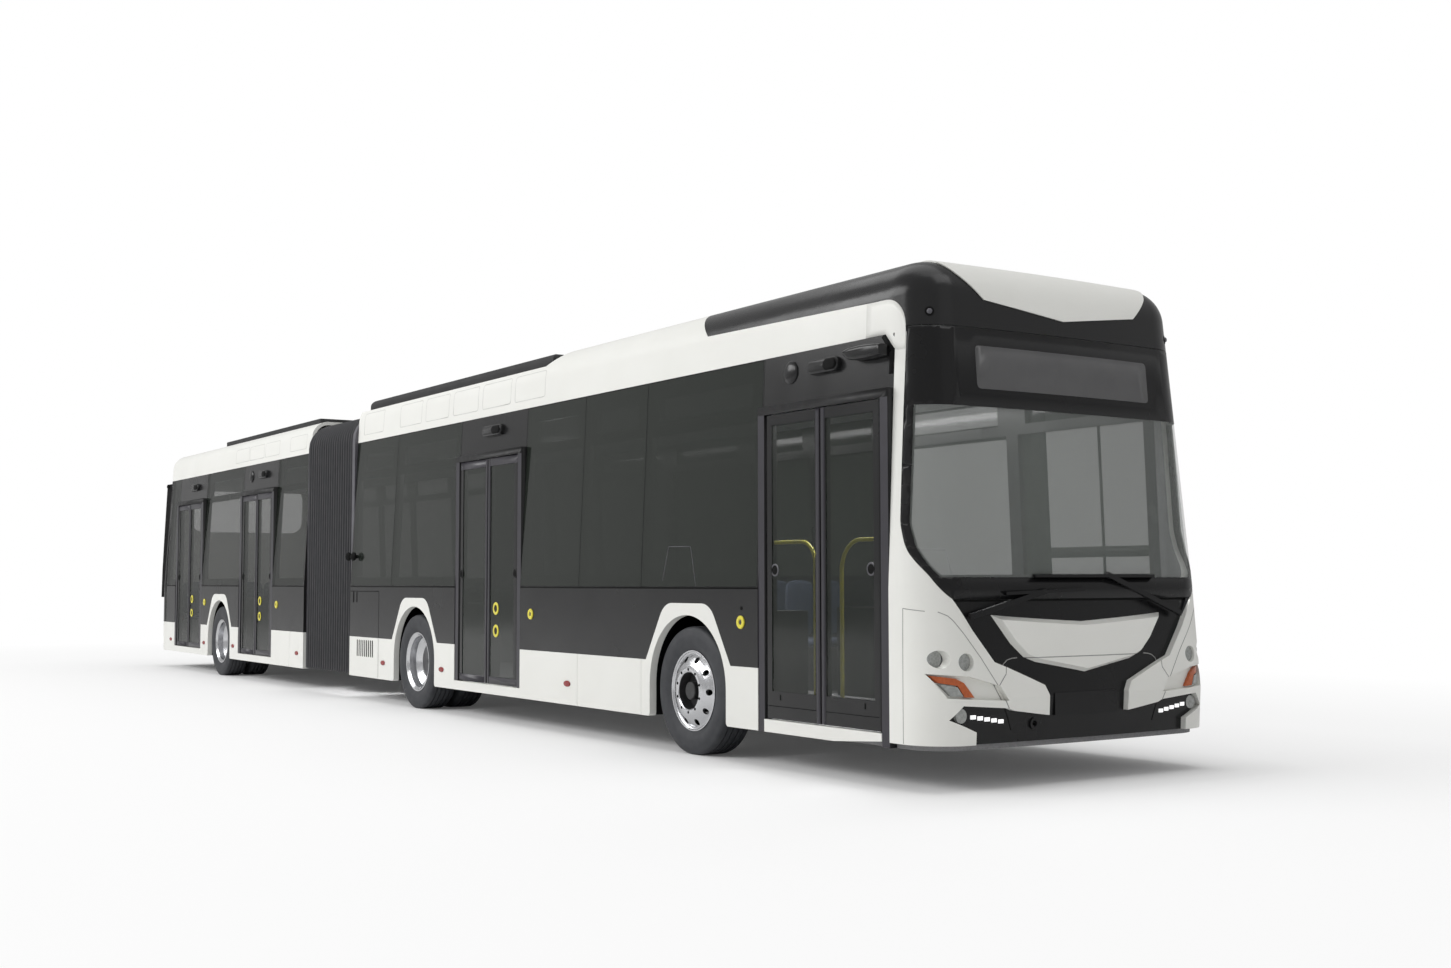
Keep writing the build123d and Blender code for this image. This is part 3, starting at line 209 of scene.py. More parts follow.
def lamp_red(mat):
    set_look(mat, (0.40, 0.012, 0.010), 0.12)
    vary_color(mat, (0.34, 0.010, 0.008), (0.46, 0.016, 0.012), 40.0)


def seat_fabric(mat):
    set_look(mat, (0.05, 0.065, 0.10), 0.85)
    vary_color(mat, (0.04, 0.052, 0.08), (0.065, 0.08, 0.125), 30.0)
    add_bump(mat, 600.0, 0.3, 0.001)


def rail_yellow(mat):
    set_look(mat, (0.80, 0.74, 0.10), 0.35)
    vary_color(mat, (0.78, 0.72, 0.09), (0.82, 0.76, 0.11), 25.0)


def cab_plastic(mat):
    set_look(mat, (0.045, 0.045, 0.048), 0.55)
    vary_color(mat, (0.04, 0.04, 0.043), (0.052, 0.052, 0.055), 12.0)
    add_bump(mat, 350.0, 0.12, 0.001)


def display_grey(mat):
    set_look(mat, (0.10, 0.10, 0.102), 0.3, specular=0.3)
    vary_color(mat, (0.095, 0.095, 0.097), (0.105, 0.105, 0.107), 5.0)


def seam_dark(mat):
    set_look(mat, (0.006, 0.006, 0.006), 0.7, specular=0.1)
    vary_color(mat, (0.005, 0.005, 0.005), (0.008, 0.008, 0.008), 20.0)


# Grey for seam lines, also used as a painted highlight along the bonnet flap's edges
def seam_grey(mat):
    set_look(mat, (0.32, 0.32, 0.31), 0.6, specular=0.2)
    vary_color(mat, (0.29, 0.29, 0.28), (0.35, 0.35, 0.34), 20.0)


def seam_pale(mat):
    set_look(mat, (0.62, 0.62, 0.60), 0.5, specular=0.3)
    vary_color(mat, (0.60, 0.60, 0.58), (0.64, 0.64, 0.62), 20.0)


def edge_grey(mat):
    set_look(mat, (0.09, 0.088, 0.1), 0.5)
    vary_color(mat, (0.08, 0.078, 0.09), (0.1, 0.098, 0.11), 9.0)


def amber_lens(mat):
    set_look(mat, (0.46, 0.10, 0.025), 0.25, specular=0.5)
    vary_color(mat, (0.42, 0.085, 0.02), (0.50, 0.115, 0.03), 60.0)
    add_bump(mat, 160.0, 0.15, 0.002)


def lens_grey(mat):
    set_look(mat, (0.33, 0.34, 0.33), 0.12, specular=0.6)
    vary_color(mat, (0.28, 0.29, 0.28), (0.38, 0.39, 0.38), 60.0)
    add_bump(mat, 140.0, 0.2, 0.002, "ShaderNodeTexVoronoi")


def glow_white(mat):
    set_look(mat, (0.9, 0.9, 0.9), 0.2)
    vary_color(mat, (0.88, 0.88, 0.88), (0.92, 0.92, 0.92), 90.0)
    shader = mat.node_tree.nodes["Principled BSDF"]
    shader.inputs["Emission Color"].default_value = (1.0, 1.0, 1.0, 1.0)
    shader.inputs["Emission Strength"].default_value = 0.7


def button_yellow(mat):
    set_look(mat, (0.75, 0.66, 0.06), 0.3)
    vary_color(mat, (0.72, 0.63, 0.055), (0.78, 0.69, 0.065), 80.0)


def black_trim(mat):
    set_look(mat, (0.008, 0.008, 0.0085), 0.4, specular=0.25)
    vary_roughness(mat, 0.35, 0.5, 12.0)


def hub_dark(mat):
    set_look(mat, (0.045, 0.045, 0.046), 0.5, metallic=0.3)
    vary_color(mat, (0.038, 0.038, 0.039), (0.052, 0.052, 0.053), 25.0)


def hub_grey(mat):
    set_look(mat, (0.14, 0.14, 0.145), 0.45, metallic=0.7)
    vary_color(mat, (0.12, 0.12, 0.125), (0.16, 0.16, 0.165), 25.0)


def reflector_red(mat):
    set_look(mat, (0.26, 0.02, 0.022), 0.25)
    vary_color(mat, (0.22, 0.015, 0.017), (0.30, 0.026, 0.028), 150.0)
    add_bump(mat, 220.0, 0.2, 0.001, "ShaderNodeTexVoronoi")


finishes = {look.__name__: new_material(look.__name__, look) for look in (
    white_paint, black_panel, roof_black, black_front, screen_glass, door_rubber, floor_grey, lining_grey,
    tyre, rim_alloy, axle_iron, bellows_rubber, ridge_grey, lamp_clear, lamp_red, seat_fabric, rail_yellow,
    cab_plastic, display_grey, seam_dark, seam_grey, seam_pale, edge_grey, amber_lens, lens_grey,
    glow_white, button_yellow, black_trim, hub_dark, hub_grey, reflector_red)}
finishes.update({name: new_material(name, tinted_glass, tint) for name, tint in pane_tints.items()})

finish_nodes = {
    "white_paint": ("front_skirts", "rear_skirts", "front_fairings", "rear_fairings", "front_mask",
                    "rear_panel"),
    "black_front": ("front_band", "wipers", "front_cameras"),
    "black_panel": ("front_walls", "rear_walls", "front_dome"),
    "roof_black": ("front_cover", "rear_cover"),
    "side_glass": ("front_glass", "rear_glass"),
    "screen_glass": ("windscreen",),
    "door_rubber": ("front_door_frames", "rear_door_frames"),
    "floor_grey": ("front_floor", "rear_floor"),
    "lining_grey": ("front_ceiling", "rear_ceiling"),
    "axle_iron": ("front_axle", "mid_axle", "rear_axle", "knuckle_left", "knuckle_right", "joint_plate",
                  "turntable"),
    "bellows_rubber": ("bellows",),
    "lamp_clear": ("front_lamps",),
    "lamp_red": ("rear_lamps",),
    "seat_fabric": ("front_seats", "rear_seats"),
    "cab_plastic": ("cab",)}
node_finish = {node: finish for finish, group in finish_nodes.items() for node in group}


def finish_of(node):
    if node in node_finish:
        return node_finish[node]
    if "tyre" in node:
        return "tyre"
    if "rim" in node:
        return "rim_alloy"
    if "handrail" in node:
        return "rail_yellow"
    return "black_trim"


for name, obj in nodes.items():
    obj.data.materials.clear()
    obj.data.materials.append(finishes[finish_of(name)])


# Tools for making pieces

forward = Vector((1, 0, 0))
right_side = Vector((0, -1, 0))
left_side = Vector((0, 1, 0))
upward = Vector((0, 0, 1))
sides = ((right_side, "right"), (left_side, "left"))
everywhere = 100.0


def make_piece(name, bm, body, finish, thick=0.0, crease=35.0):
    bmesh.ops.recalc_face_normals(bm, faces=bm.faces[:])
    mesh = bpy.data.meshes.new(name)
    bm.to_mesh(mesh)
    bm.free()
    mesh.materials.append(finishes[finish])
    mesh.shade_smooth()
    mesh.set_sharp_from_angle(angle=radians(crease))
    obj = bpy.data.objects.new(name, mesh)
    scene.collection.objects.link(obj)
    if thick:
        shell = obj.modifiers.new("thickness", "SOLIDIFY")
        shell.thickness = thick
        shell.offset = -1.0
    if body:
        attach(obj, body)
    return obj


def spread(u, v, away):
    if abs(away.x) > 0.5:
        return Vector((0, u, v))
    if abs(away.y) > 0.5:
        return Vector((u, 0, v))
    return Vector((u, v, 0))


facing_skins = {}


# Faces of a node that look one way and lie between two depths, kept for later cuts
def facing_skin(node, away, beyond, until):
    key = (node, tuple(away), beyond, until)
    if key not in facing_skins:
        bm = bmesh.new()
        bm.from_mesh(nodes[node].data)
        bmesh.ops.remove_doubles(bm, verts=bm.verts[:], dist=1e-5)
        depths = {f: f.calc_center_median().dot(away) for f in bm.faces}
        hidden = [f for f in bm.faces if f.normal.dot(away) < 0.05 or not beyond < depths[f] < until]
        bmesh.ops.delete(bm, geom=hidden, context="FACES")
        facing_skins[key] = bm
    return facing_skins[key]


# Adds the part of a node's surface inside a convex outline, as seen along a direction, raised a little
def skin(bm, node, away, outline, lift, beyond=-everywhere, until=everywhere):
    patch = facing_skin(node, away, beyond, until).copy()
    points = [spread(u, v, away) for u, v in outline]
    middle = sum(points, Vector()) / len(points)
    for a, b in zip(points, points[1:] + points[:1]):
        normal = (b - a).cross(away)
        if normal.dot(middle - a) > 0:
            normal = -normal
        everything = patch.verts[:] + patch.edges[:] + patch.faces[:]
        bmesh.ops.bisect_plane(patch, geom=everything, plane_co=a, plane_no=normal, clear_outer=True)
    patch.normal_update()
    for vert in patch.verts:
        vert.co += vert.normal * lift
    join(bm, patch)


def join(bm, other, place=Matrix.Identity(4)):
    mesh = bpy.data.meshes.new("joined")
    other.to_mesh(mesh)
    other.free()
    mesh.transform(place)
    bm.from_mesh(mesh)
    bpy.data.meshes.remove(mesh)


# A painted or cut line along a surface through points seen along a direction
def line(bm, node, away, points, wide, lift=0.001, beyond=-everywhere):
    for (u0, v0), (u1, v1) in zip(points, points[1:]):
        long = hypot(u1 - u0, v1 - v0)
        nu = (v0 - v1) / long * wide / 2
        nv = (u1 - u0) / long * wide / 2
        outline = [(u0 + nu, v0 + nv), (u1 + nu, v1 + nv), (u1 - nu, v1 - nv), (u0 - nu, v0 - nv)]
        skin(bm, node, away, outline, lift, beyond)


def mirrored(points):
    return [(-u, v) for u, v in points]


def rounded(u0, v0, u1, v1, radius, steps=5):
    corners = [(u1 - radius, v1 - radius, 0), (u0 + radius, v1 - radius, 1),
               (u0 + radius, v0 + radius, 2), (u1 - radius, v0 + radius, 3)]
    turns = [(u, v, (quarter + n / steps) * pi / 2) for u, v, quarter in corners for n in range(steps + 1)]
    return [(u + radius * cos(t), v + radius * sin(t)) for u, v, t in turns]


trees = {}


# Where a ray meets a node, as a frame whose Z points out of the surface
def seat(node, start, ray):
    if node not in trees:
        bm = bmesh.new()
        bm.from_mesh(nodes[node].data)
        trees[node] = BVHTree.FromBMesh(bm)
        bm.free()
    place, normal, _, _ = trees[node].ray_cast(Vector(start), Vector(ray))
    return frame_at(place, normal)


def frame_at(place, outward):
    out = Vector(outward).normalized()
    across = upward.cross(out).normalized()
    return Matrix.Translation(place) @ Matrix((across, out.cross(across), out)).transposed().to_4x4()


# Faces between each ring of points and the next
def bridge(bm, rings):
    for ring, after in zip(rings, rings[1:]):
        for n in range(len(ring)):
            m = (n + 1) % len(ring)
            corners = (ring[n], ring[m], after[m], after[n])
            bm.faces.new(list(dict.fromkeys(corners)))


# Turned form from a list of radius and height, about the Z of its place
def lathe(bm, profile, place, steps=32):
    turned = bmesh.new()
    rings = []
    for radius, height in profile:
        if radius == 0:
            rings.append([turned.verts.new((0, 0, height))] * steps)
            continue
        angles = [2 * pi * n / steps for n in range(steps)]
        rings.append([turned.verts.new((radius * cos(a), radius * sin(a), height)) for a in angles])
    bridge(turned, rings)
    join(bm, turned, place)


# Flat plate from an outline in the X and Y of its place, with its outer edge rounded
def plate(bm, outline, thick, place, edge=0.0):
    flat = bmesh.new()
    base = flat.faces.new([flat.verts.new((u, v, 0)) for u, v in outline])
    grown = bmesh.ops.extrude_face_region(flat, geom=[base], use_keep_orig=True)
    top = [v for v in grown["geom"] if isinstance(v, bmesh.types.BMVert)]
    bmesh.ops.translate(flat, verts=top, vec=(0, 0, thick))
    if edge:
        rim = [e for e in flat.edges if all(v in top for v in e.verts)]
        bmesh.ops.bevel(flat, geom=rim, offset=edge, segments=3, profile=0.5, affect="EDGES")
    join(bm, flat, place)


def block(x0, z0, x1, z1):
    return [(x0, z0), (x1, z0), (x1, z1), (x0, z1)]


def turned_on(bm, node, side, x, z, profile, steps=28):
    place = seat(node, (x, 2.0 * side.y, z), -side)
    lathe(bm, profile, place, steps)


# Loose solids of a node, each as its own mesh with its lowest and highest corner
def loose_solids(node):
    whole = bmesh.new()
    whole.from_mesh(nodes[node].data)
    bmesh.ops.remove_doubles(whole, verts=whole.verts[:], dist=1e-5)
    left = set(whole.faces)
    solids = []
    while left:
        group = {left.pop()}
        front = list(group)
        while front:
            for edge in front.pop().edges:
                for face in edge.link_faces:
                    if face in left:
                        left.discard(face)
                        group.add(face)
                        front.append(face)
        solid = bmesh.new()
        copies = {}
        for face in group:
            for vert in face.verts:
                if vert not in copies:
                    copies[vert] = solid.verts.new(vert.co)
            solid.faces.new([copies[v] for v in face.verts])
        low = Vector([min(v.co[k] for v in solid.verts) for k in range(3)])
        high = Vector([max(v.co[k] for v in solid.verts) for k in range(3)])
        solids.append((solid, low, high))
    whole.free()
    return sorted(solids, key=lambda item: tuple(item[1] + item[2]))


# Sizes shared by the pieces, in metres
belt_z = 1.235
side_lean = 0.0436
half_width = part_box("front_skirts")[1].y
rail_z = 2.838
front_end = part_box("front_walls")[0].x
rear_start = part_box("rear_walls")[1].x
side_depth = 1.1
leaf_depth = 1.26
wall_front = 8.58
wall_back = -8.75

# Painted lines and films: their thickness, and how far they stand off what carries them
film = 0.001
thin_film = 0.0006
lining_film = 0.0008
seam_lift = 0.0008
film_lift = 0.0012
rubber_lift = 0.0015


def half_at(z):
    return half_width - max(0.0, z - belt_z) * side_lean


# Windscreen: printed black border and the blank route display

glass_top = 2.37
glass_low = 1.302
past_glass = 1.4
border_wide = 0.3
glass_edge = [(8.735, glass_top), (8.744, 2.0), (8.750, 1.631), (8.795, 1.488), (8.865, 1.375),
              (8.915, glass_low)]
border = bmesh.new()
skin(border, "windscreen", forward, block(-past_glass, glass_top, past_glass, 2.9), film_lift)
skin(border, "windscreen", forward, block(-past_glass, 1.1, past_glass, glass_low), film_lift)
for side in (right_side, left_side):
    for (x0, z0), (x1, z1) in zip(glass_edge, glass_edge[1:]):
        strip = [(x0 - border_wide, z0), (x0, z0), (x1, z1), (x1 - border_wide, z1)]
        skin(border, "windscreen", side, strip, film_lift)
make_piece("screen_border", border, "front_car", "black_front", thick=film)
display = bmesh.new()
skin(display, "windscreen", forward, rounded(-0.78, 2.485, 0.78, 2.76, 0.03), 0.0024)
make_piece("route_display", display, "front_car", "display_grey", thick=film)
seams = bmesh.new()
line(seams, "front_band", forward, [(-1.08, 1.158), (1.08, 1.158)], 0.012)
make_piece("screen_foot_line", seams, "front_car", "seam_dark", thick=film)

# Nose: seams of the lamp panels, wedges, bonnet flap and bumper, and a painted highlight along the flap's
# edges on the black band

wedge_seam = [(0.700, 0.752), (0.704, 0.710), (0.770, 0.633), (0.690, 0.498)]
lamp_seam = [(1.16, 1.092), (1.11, 1.068), (1.084, 1.043), (0.896, 0.811), (0.770, 0.633)]
flap_band = [(0.705, 0.735), (0.685, 0.768), (0.655, 0.790), (0.615, 0.800), (0.57, 0.803)]
flap_shield = [(0.60, 0.802), (-0.60, 0.802)]
bumper_seam = [(0.690, 0.492), (0.665, 0.44), (0.635, 0.36)]
panel_edge = [(8.722, 0.29), (8.722, 1.112), (8.86, 1.096)]
nose_lines = bmesh.new()
# Light grey line along the flap's edges on the black band: a painted highlight
flap_highlight_lines = bmesh.new()
bumper_lines = bmesh.new()
for turn in (list, mirrored):
    line(nose_lines, "front_mask", forward, turn(wedge_seam), 0.006, seam_lift)
    line(nose_lines, "front_mask", forward, turn(lamp_seam), 0.005, seam_lift)
    line(flap_highlight_lines, "front_band", forward, turn(flap_band), 0.006, seam_lift)
    line(bumper_lines, "front_band", forward, turn(bumper_seam), 0.007, seam_lift)
for side in (right_side, left_side):
    line(nose_lines, "front_mask", side, panel_edge, 0.005, seam_lift, side_depth)
line(nose_lines, "front_mask", forward, flap_shield, 0.006, seam_lift, 8.9)
make_piece("nose_seams", nose_lines, "front_car", "seam_grey", thick=film)
make_piece("flap_seams", flap_highlight_lines, "front_car", "seam_grey", thick=film)
make_piece("bumper_seams", bumper_lines, "front_car", "seam_dark", thick=film)

# Front lamps, each kind in its own finish

small_lamp = 0.06
wide_lamp = 0.2
lamp_kinds = {"head_lamps": bmesh.new(), "indicators": bmesh.new(), "running_lights": bmesh.new()}
for solid, low, high in loose_solids("front_lamps"):
    size = high - low
    if max(size) < small_lamp:
        join(lamp_kinds["running_lights"], solid)
    elif size.y > wide_lamp:
        join(lamp_kinds["indicators"], solid)
    else:
        join(lamp_kinds["head_lamps"], solid)
for kind, finish in (("head_lamps", "lens_grey"), ("indicators", "amber_lens"),
                     ("running_lights", "glow_white")):
    piece = make_piece(kind, lamp_kinds[kind], "front_car", finish)
    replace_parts(piece, "front_lamps")

# Bellows: a pleated arch between two end frames

pleats = 19
pleat_deep = 0.07
pleat_steps = 8
bellows_half = 1.24
bellows_low = 0.262
bellows_top = 3.17
bellows_corner = 0.29
bellows_thick = 0.105
frame_long = 0.09
rear_frame_long = 0.02
frame_gap = 0.001


def arch(half, top, low, corner, steps=6):
    points = [(-half, low)]
    for n in range(steps + 1):
        a = pi - n / steps * pi / 2
        points.append((-half + corner + corner * cos(a), top - corner + corner * sin(a)))
    return points + [(-y, z) for y, z in reversed(points)]


def arch_ring(shrink, thick):
    outer = arch(bellows_half - shrink, bellows_top - shrink, bellows_low, bellows_corner - shrink / 2)
    inner = arch(bellows_half - thick, bellows_top - thick, bellows_low, bellows_corner - thick / 2)
    return outer + list(reversed(inner))


def arch_loft(bm, stations):
    rings = []
    for x, shrink, thick in stations:
        rings.append([bm.verts.new((x, y, z)) for y, z in arch_ring(shrink, thick)])
    bridge(bm, rings)
    count = len(rings[0])
    for ring in (rings[0], rings[-1]):
        for k in range(count // 2 - 1):
            bm.faces.new((ring[k], ring[k + 1], ring[count - 2 - k], ring[count - 1 - k]))


folds = bmesh.new()
fold_start = front_end - frame_long
fold_end = rear_start + rear_frame_long
fold_count = pleats * pleat_steps
stations = []
for n in range(fold_count + 1):
    depth = pleat_deep * (0.5 + 0.5 * cos(2 * pi * n / pleat_steps)) ** 0.6
    stations.append((fold_start + (fold_end - fold_start) * n / fold_count, depth, bellows_thick))
arch_loft(folds, stations)
folded = make_piece("bellows_folds", folds, None, "bellows_rubber", crease=50.0)
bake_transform(folded)
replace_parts(folded, "bellows")
# Raised ridges along the pleats in the lighter grey, a painted highlight on the dark rubber
ridges = bmesh.new()
ridge_form = ((-0.009, 0.004), (-0.005, -0.004), (0.005, -0.004), (0.009, 0.004))
ridge_thick = 0.03
for n in range(pleats):
    x = fold_start + (fold_end - fold_start) * (n + 0.5) / pleats
    arch_loft(ridges, [(x + along, shrink, ridge_thick) for along, shrink in ridge_form])
ridged = make_piece("bellows_ridges", ridges, None, "ridge_grey", crease=50.0)
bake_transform(ridged)
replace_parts(ridged, "bellows")
for name, body, x0, x1 in (
        ("joint_frame_front", "front_car", front_end - frame_long + frame_gap, front_end - frame_gap),
        ("joint_frame_rear", "rear_car", rear_start + frame_gap, fold_end - frame_gap)):
    ends = bmesh.new()
    arch_loft(ends, [(x0, 0.008, bellows_thick), (x0 + 0.006, 0.0, bellows_thick), (x1, 0.0, bellows_thick)])
    make_piece(name, ends, body, "edge_grey")

# Roof hatches along the fairings: lowest and highest edge, and the ends of each hatch

roof_hatches = {
    "front": (2.915, 3.15, ((-0.64, -0.06), (0.41, 0.99), (1.10, 1.68), (1.79, 2.37), (2.47, 3.08),
                            (3.17, 3.77))),
    "rear": (2.905, 3.085, ((-5.50, -4.91), (-4.87, -4.26), (-4.20, -3.62), (-3.20, -2.58)))}
for side, label in sides:
    for end, (hatch_low, hatch_high, places) in roof_hatches.items():
        pale = bmesh.new()
        for x0, x1 in places:
            corners = rounded(x0, hatch_low, x1, hatch_high, 0.025, 3)
            line(pale, end + "_fairings", side, corners + corners[:1], 0.006, seam_lift, 1.0)
        make_piece(end + "_roof_hatches_" + label, pale, end + "_car", "seam_pale", thick=film)

# Rear roof cover: a lid with crisp edges, a little wider than its packs

lid_half = 0.985
lid_edge = 0.012
lid_low, lid_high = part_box("rear_cover")
lid = bmesh.new()
lid_outline = rounded(lid_low.x, -lid_half, lid_high.x, lid_half, 0.03)
plate(lid, lid_outline, lid_high.z - lid_low.z, Matrix.Translation((0, 0, lid_low.z)), lid_edge)
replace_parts(make_piece("rear_cover_lid", lid, "rear_car", "roof_black"), "rear_cover")

# Doors: dark leaves with glass panes, rubber rails and meeting edges

door_half = 0.71
door_places = {"door_1": 7.877, "door_2": 2.740, "door_3": -4.320, "door_4": -7.550}
door_top = 2.432
header_top = 2.49
leaf_low = 0.344
leaf_high = 2.424
leaf_rail_low = 0.408
leaf_rail_high = 2.354
edge_wide = 0.042
pane_limit = 0.02
leaf_gap = 0.0075
leaf_reach = 0.63
leaves = [(door + "_" + end + "_leaf", door, x, way) for door, x in door_places.items()
          for end, way in (("front", 1), ("rear", -1))]

for frames, car in (("front_door_frames", "front_car"), ("rear_door_frames", "rear_car")):
    shade = bmesh.new()
    skin(shade, frames, forward, block(-1.29, 0.2, -1.1, 2.6), seam_lift)
    for door, x in door_places.items():
        if (x > 0) == (car == "front_car"):
            header = block(x - door_half, door_top, x + door_half, header_top)
            skin(shade, frames, right_side, header, film, 1.25)
    make_piece(frames + "_shade", shade, car, "black_trim", thick=thin_film)

for leaf, door, x, way in leaves:
    for solid, low, high in loose_solids(leaf):
        pane = high.y - low.y < pane_limit
        glass = "joint_glass" if door == "door_2" else "door_glass"
        name, finish = ("_pane", glass) if pane else ("_frame", "black_panel")
        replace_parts(make_piece(leaf + name, solid, leaf, finish), leaf)
    rubber = bmesh.new()
    inner = x + way * leaf_gap
    outer = x + way * (leaf_gap + edge_wide)
    edge = block(min(inner, outer), leaf_low, max(inner, outer), leaf_high)
    skin(rubber, leaf, right_side, edge, rubber_lift, leaf_depth)
    if door != "door_1":
        far = x + way * leaf_reach
        for z0, z1 in ((leaf_low, leaf_rail_low), (leaf_rail_high, leaf_high)):
            rail = block(min(outer, far), z0, max(outer, far), z1)
            skin(rubber, leaf, right_side, rail, rubber_lift, leaf_depth)
    make_piece(leaf + "_rubber", rubber, leaf, "door_rubber", thick=film)
    if door == "door_1":
        foot = bmesh.new()
        line(foot, leaf, right_side, [(outer, 0.43), (x + way * 0.6, 0.43)], 0.005, film, leaf_depth)
        slot_x = x + way * 0.46
        slot = rounded(slot_x - 0.008, 0.472, slot_x + 0.008, 0.512, 0.007, 3)
        skin(foot, leaf, right_side, slot, film, leaf_depth)
        make_piece(leaf + "_foot_lines", foot, leaf, "seam_dark", thick=thin_film)

# Door furniture: opening buttons, call rings, locks, and cameras and lamps over the doors

button_ring = [(0.047, 0.0), (0.047, 0.006), (0.043, 0.010), (0.022, 0.010), (0.018, 0.005), (0.018, 0.0)]
button_face = [(0.018, 0.004), (0.010, 0.006), (0.0, 0.0065)]
call_ring = [(0.058, 0.0), (0.058, 0.004), (0.054, 0.0065), (0.036, 0.0065), (0.033, 0.004), (0.033, 0.0)]
call_face = [(0.033, 0.002), (0.018, 0.003), (0.0, 0.0035)]
lock_ring = [(0.043, 0.0), (0.043, 0.003), (0.040, 0.005), (0.034, 0.005), (0.032, 0.002), (0.032, 0.0)]
lock_eye = [(0.034, 0.002), (0.020, 0.003), (0.012, 0.006), (0.0, 0.006)]
lamp_dome = [(0.080, 0.0), (0.080, 0.006), (0.072, 0.014), (0.048, 0.022), (0.0, 0.026)]
sensor = [(0.014, 0.0), (0.014, 0.002), (0.0, 0.0025)]
lock_z = 1.356


# Turned fittings on the kerb side of a node, each kind as a piece of its own
def fittings(node, body, places, *kinds):
    for name, profile, finish in kinds:
        turned = bmesh.new()
        for x, z in places:
            turned_on(turned, node, right_side, x, z, profile)
        make_piece(body + name, turned, body, finish)


for node, car, places in (("front_walls", "front_car", ((6.958, 0.992), (3.665, 0.996))),
                          ("rear_walls", "rear_car", ((-3.416, 1.0), (-6.66, 1.0)))):
    fittings(node, car, places, ("_door_buttons", button_ring, "button_yellow"),
             ("_button_faces", button_face, "cab_plastic"))
dot = bmesh.new()
turned_on(dot, "front_walls", right_side, 6.965, 1.09, sensor)
make_piece("door_1_sensor", dot, "front_car", "seam_dark")

for leaf, places in (("door_2_front_leaf", ((2.918, 1.035), (2.922, 0.83))),
                     ("door_3_front_leaf", ((-4.152, 1.039), (-4.157, 0.841))),
                     ("door_4_front_leaf", ((-7.383, 1.036), (-7.388, 0.838)))):
    fittings(leaf, leaf, places, ("_call_rings", call_ring, "button_yellow"),
             ("_call_faces", call_face, "black_trim"))
for leaf, door, x, way in leaves:
    reach, finish = (0.524, "edge_grey") if door == "door_1" else (0.585, "black_trim")
    fittings(leaf, leaf, [(x + way * reach, lock_z)], ("_lock", lock_ring, finish),
             ("_lock_eye", lock_eye, "seam_dark"))

pod_half = 0.05
pod_deep = 0.04
lens_half = 0.038
lens_deep = 0.052
for name, node, car, x0, x1, z, lamp_x in (
        ("door_1", "front_walls", "front_car", 7.716, 8.048, 2.708, 7.486),
        ("door_2", "front_walls", "front_car", 2.561, 2.968, 2.690, None),
        ("door_3", "rear_walls", "rear_car", -4.345, -4.020, 2.680, -4.729),
        ("door_4", "rear_walls", "rear_car", -7.618, -7.245, 2.670, None)):
    pod, lens = bmesh.new(), bmesh.new()
    middle, half = (x0 + x1) / 2, (x1 - x0) / 2
    place = seat(node, (middle, -2.0, z), left_side)
    pod_outline = rounded(-half, -pod_half, half, pod_half, pod_half - 0.001, 6)
    lens_outline = rounded(half * 0.1, -lens_half, half * 0.95, lens_half, lens_half - 0.001, 6)
    plate(pod, pod_outline, pod_deep, place, 0.016)
    plate(lens, lens_outline, lens_deep, place, 0.014)
    make_piece(name + "_camera", pod, car, "black_panel")
    make_piece(name + "_camera_lens", lens, car, "seam_dark")
    if lamp_x is not None:
        lamp = bmesh.new()
        turned_on(lamp, node, right_side, lamp_x, z, lamp_dome)
        make_piece(name + "_lamp", lamp, car, "black_panel")

# Sides: belt line, hatches, grille, reflectors and the black tail corners

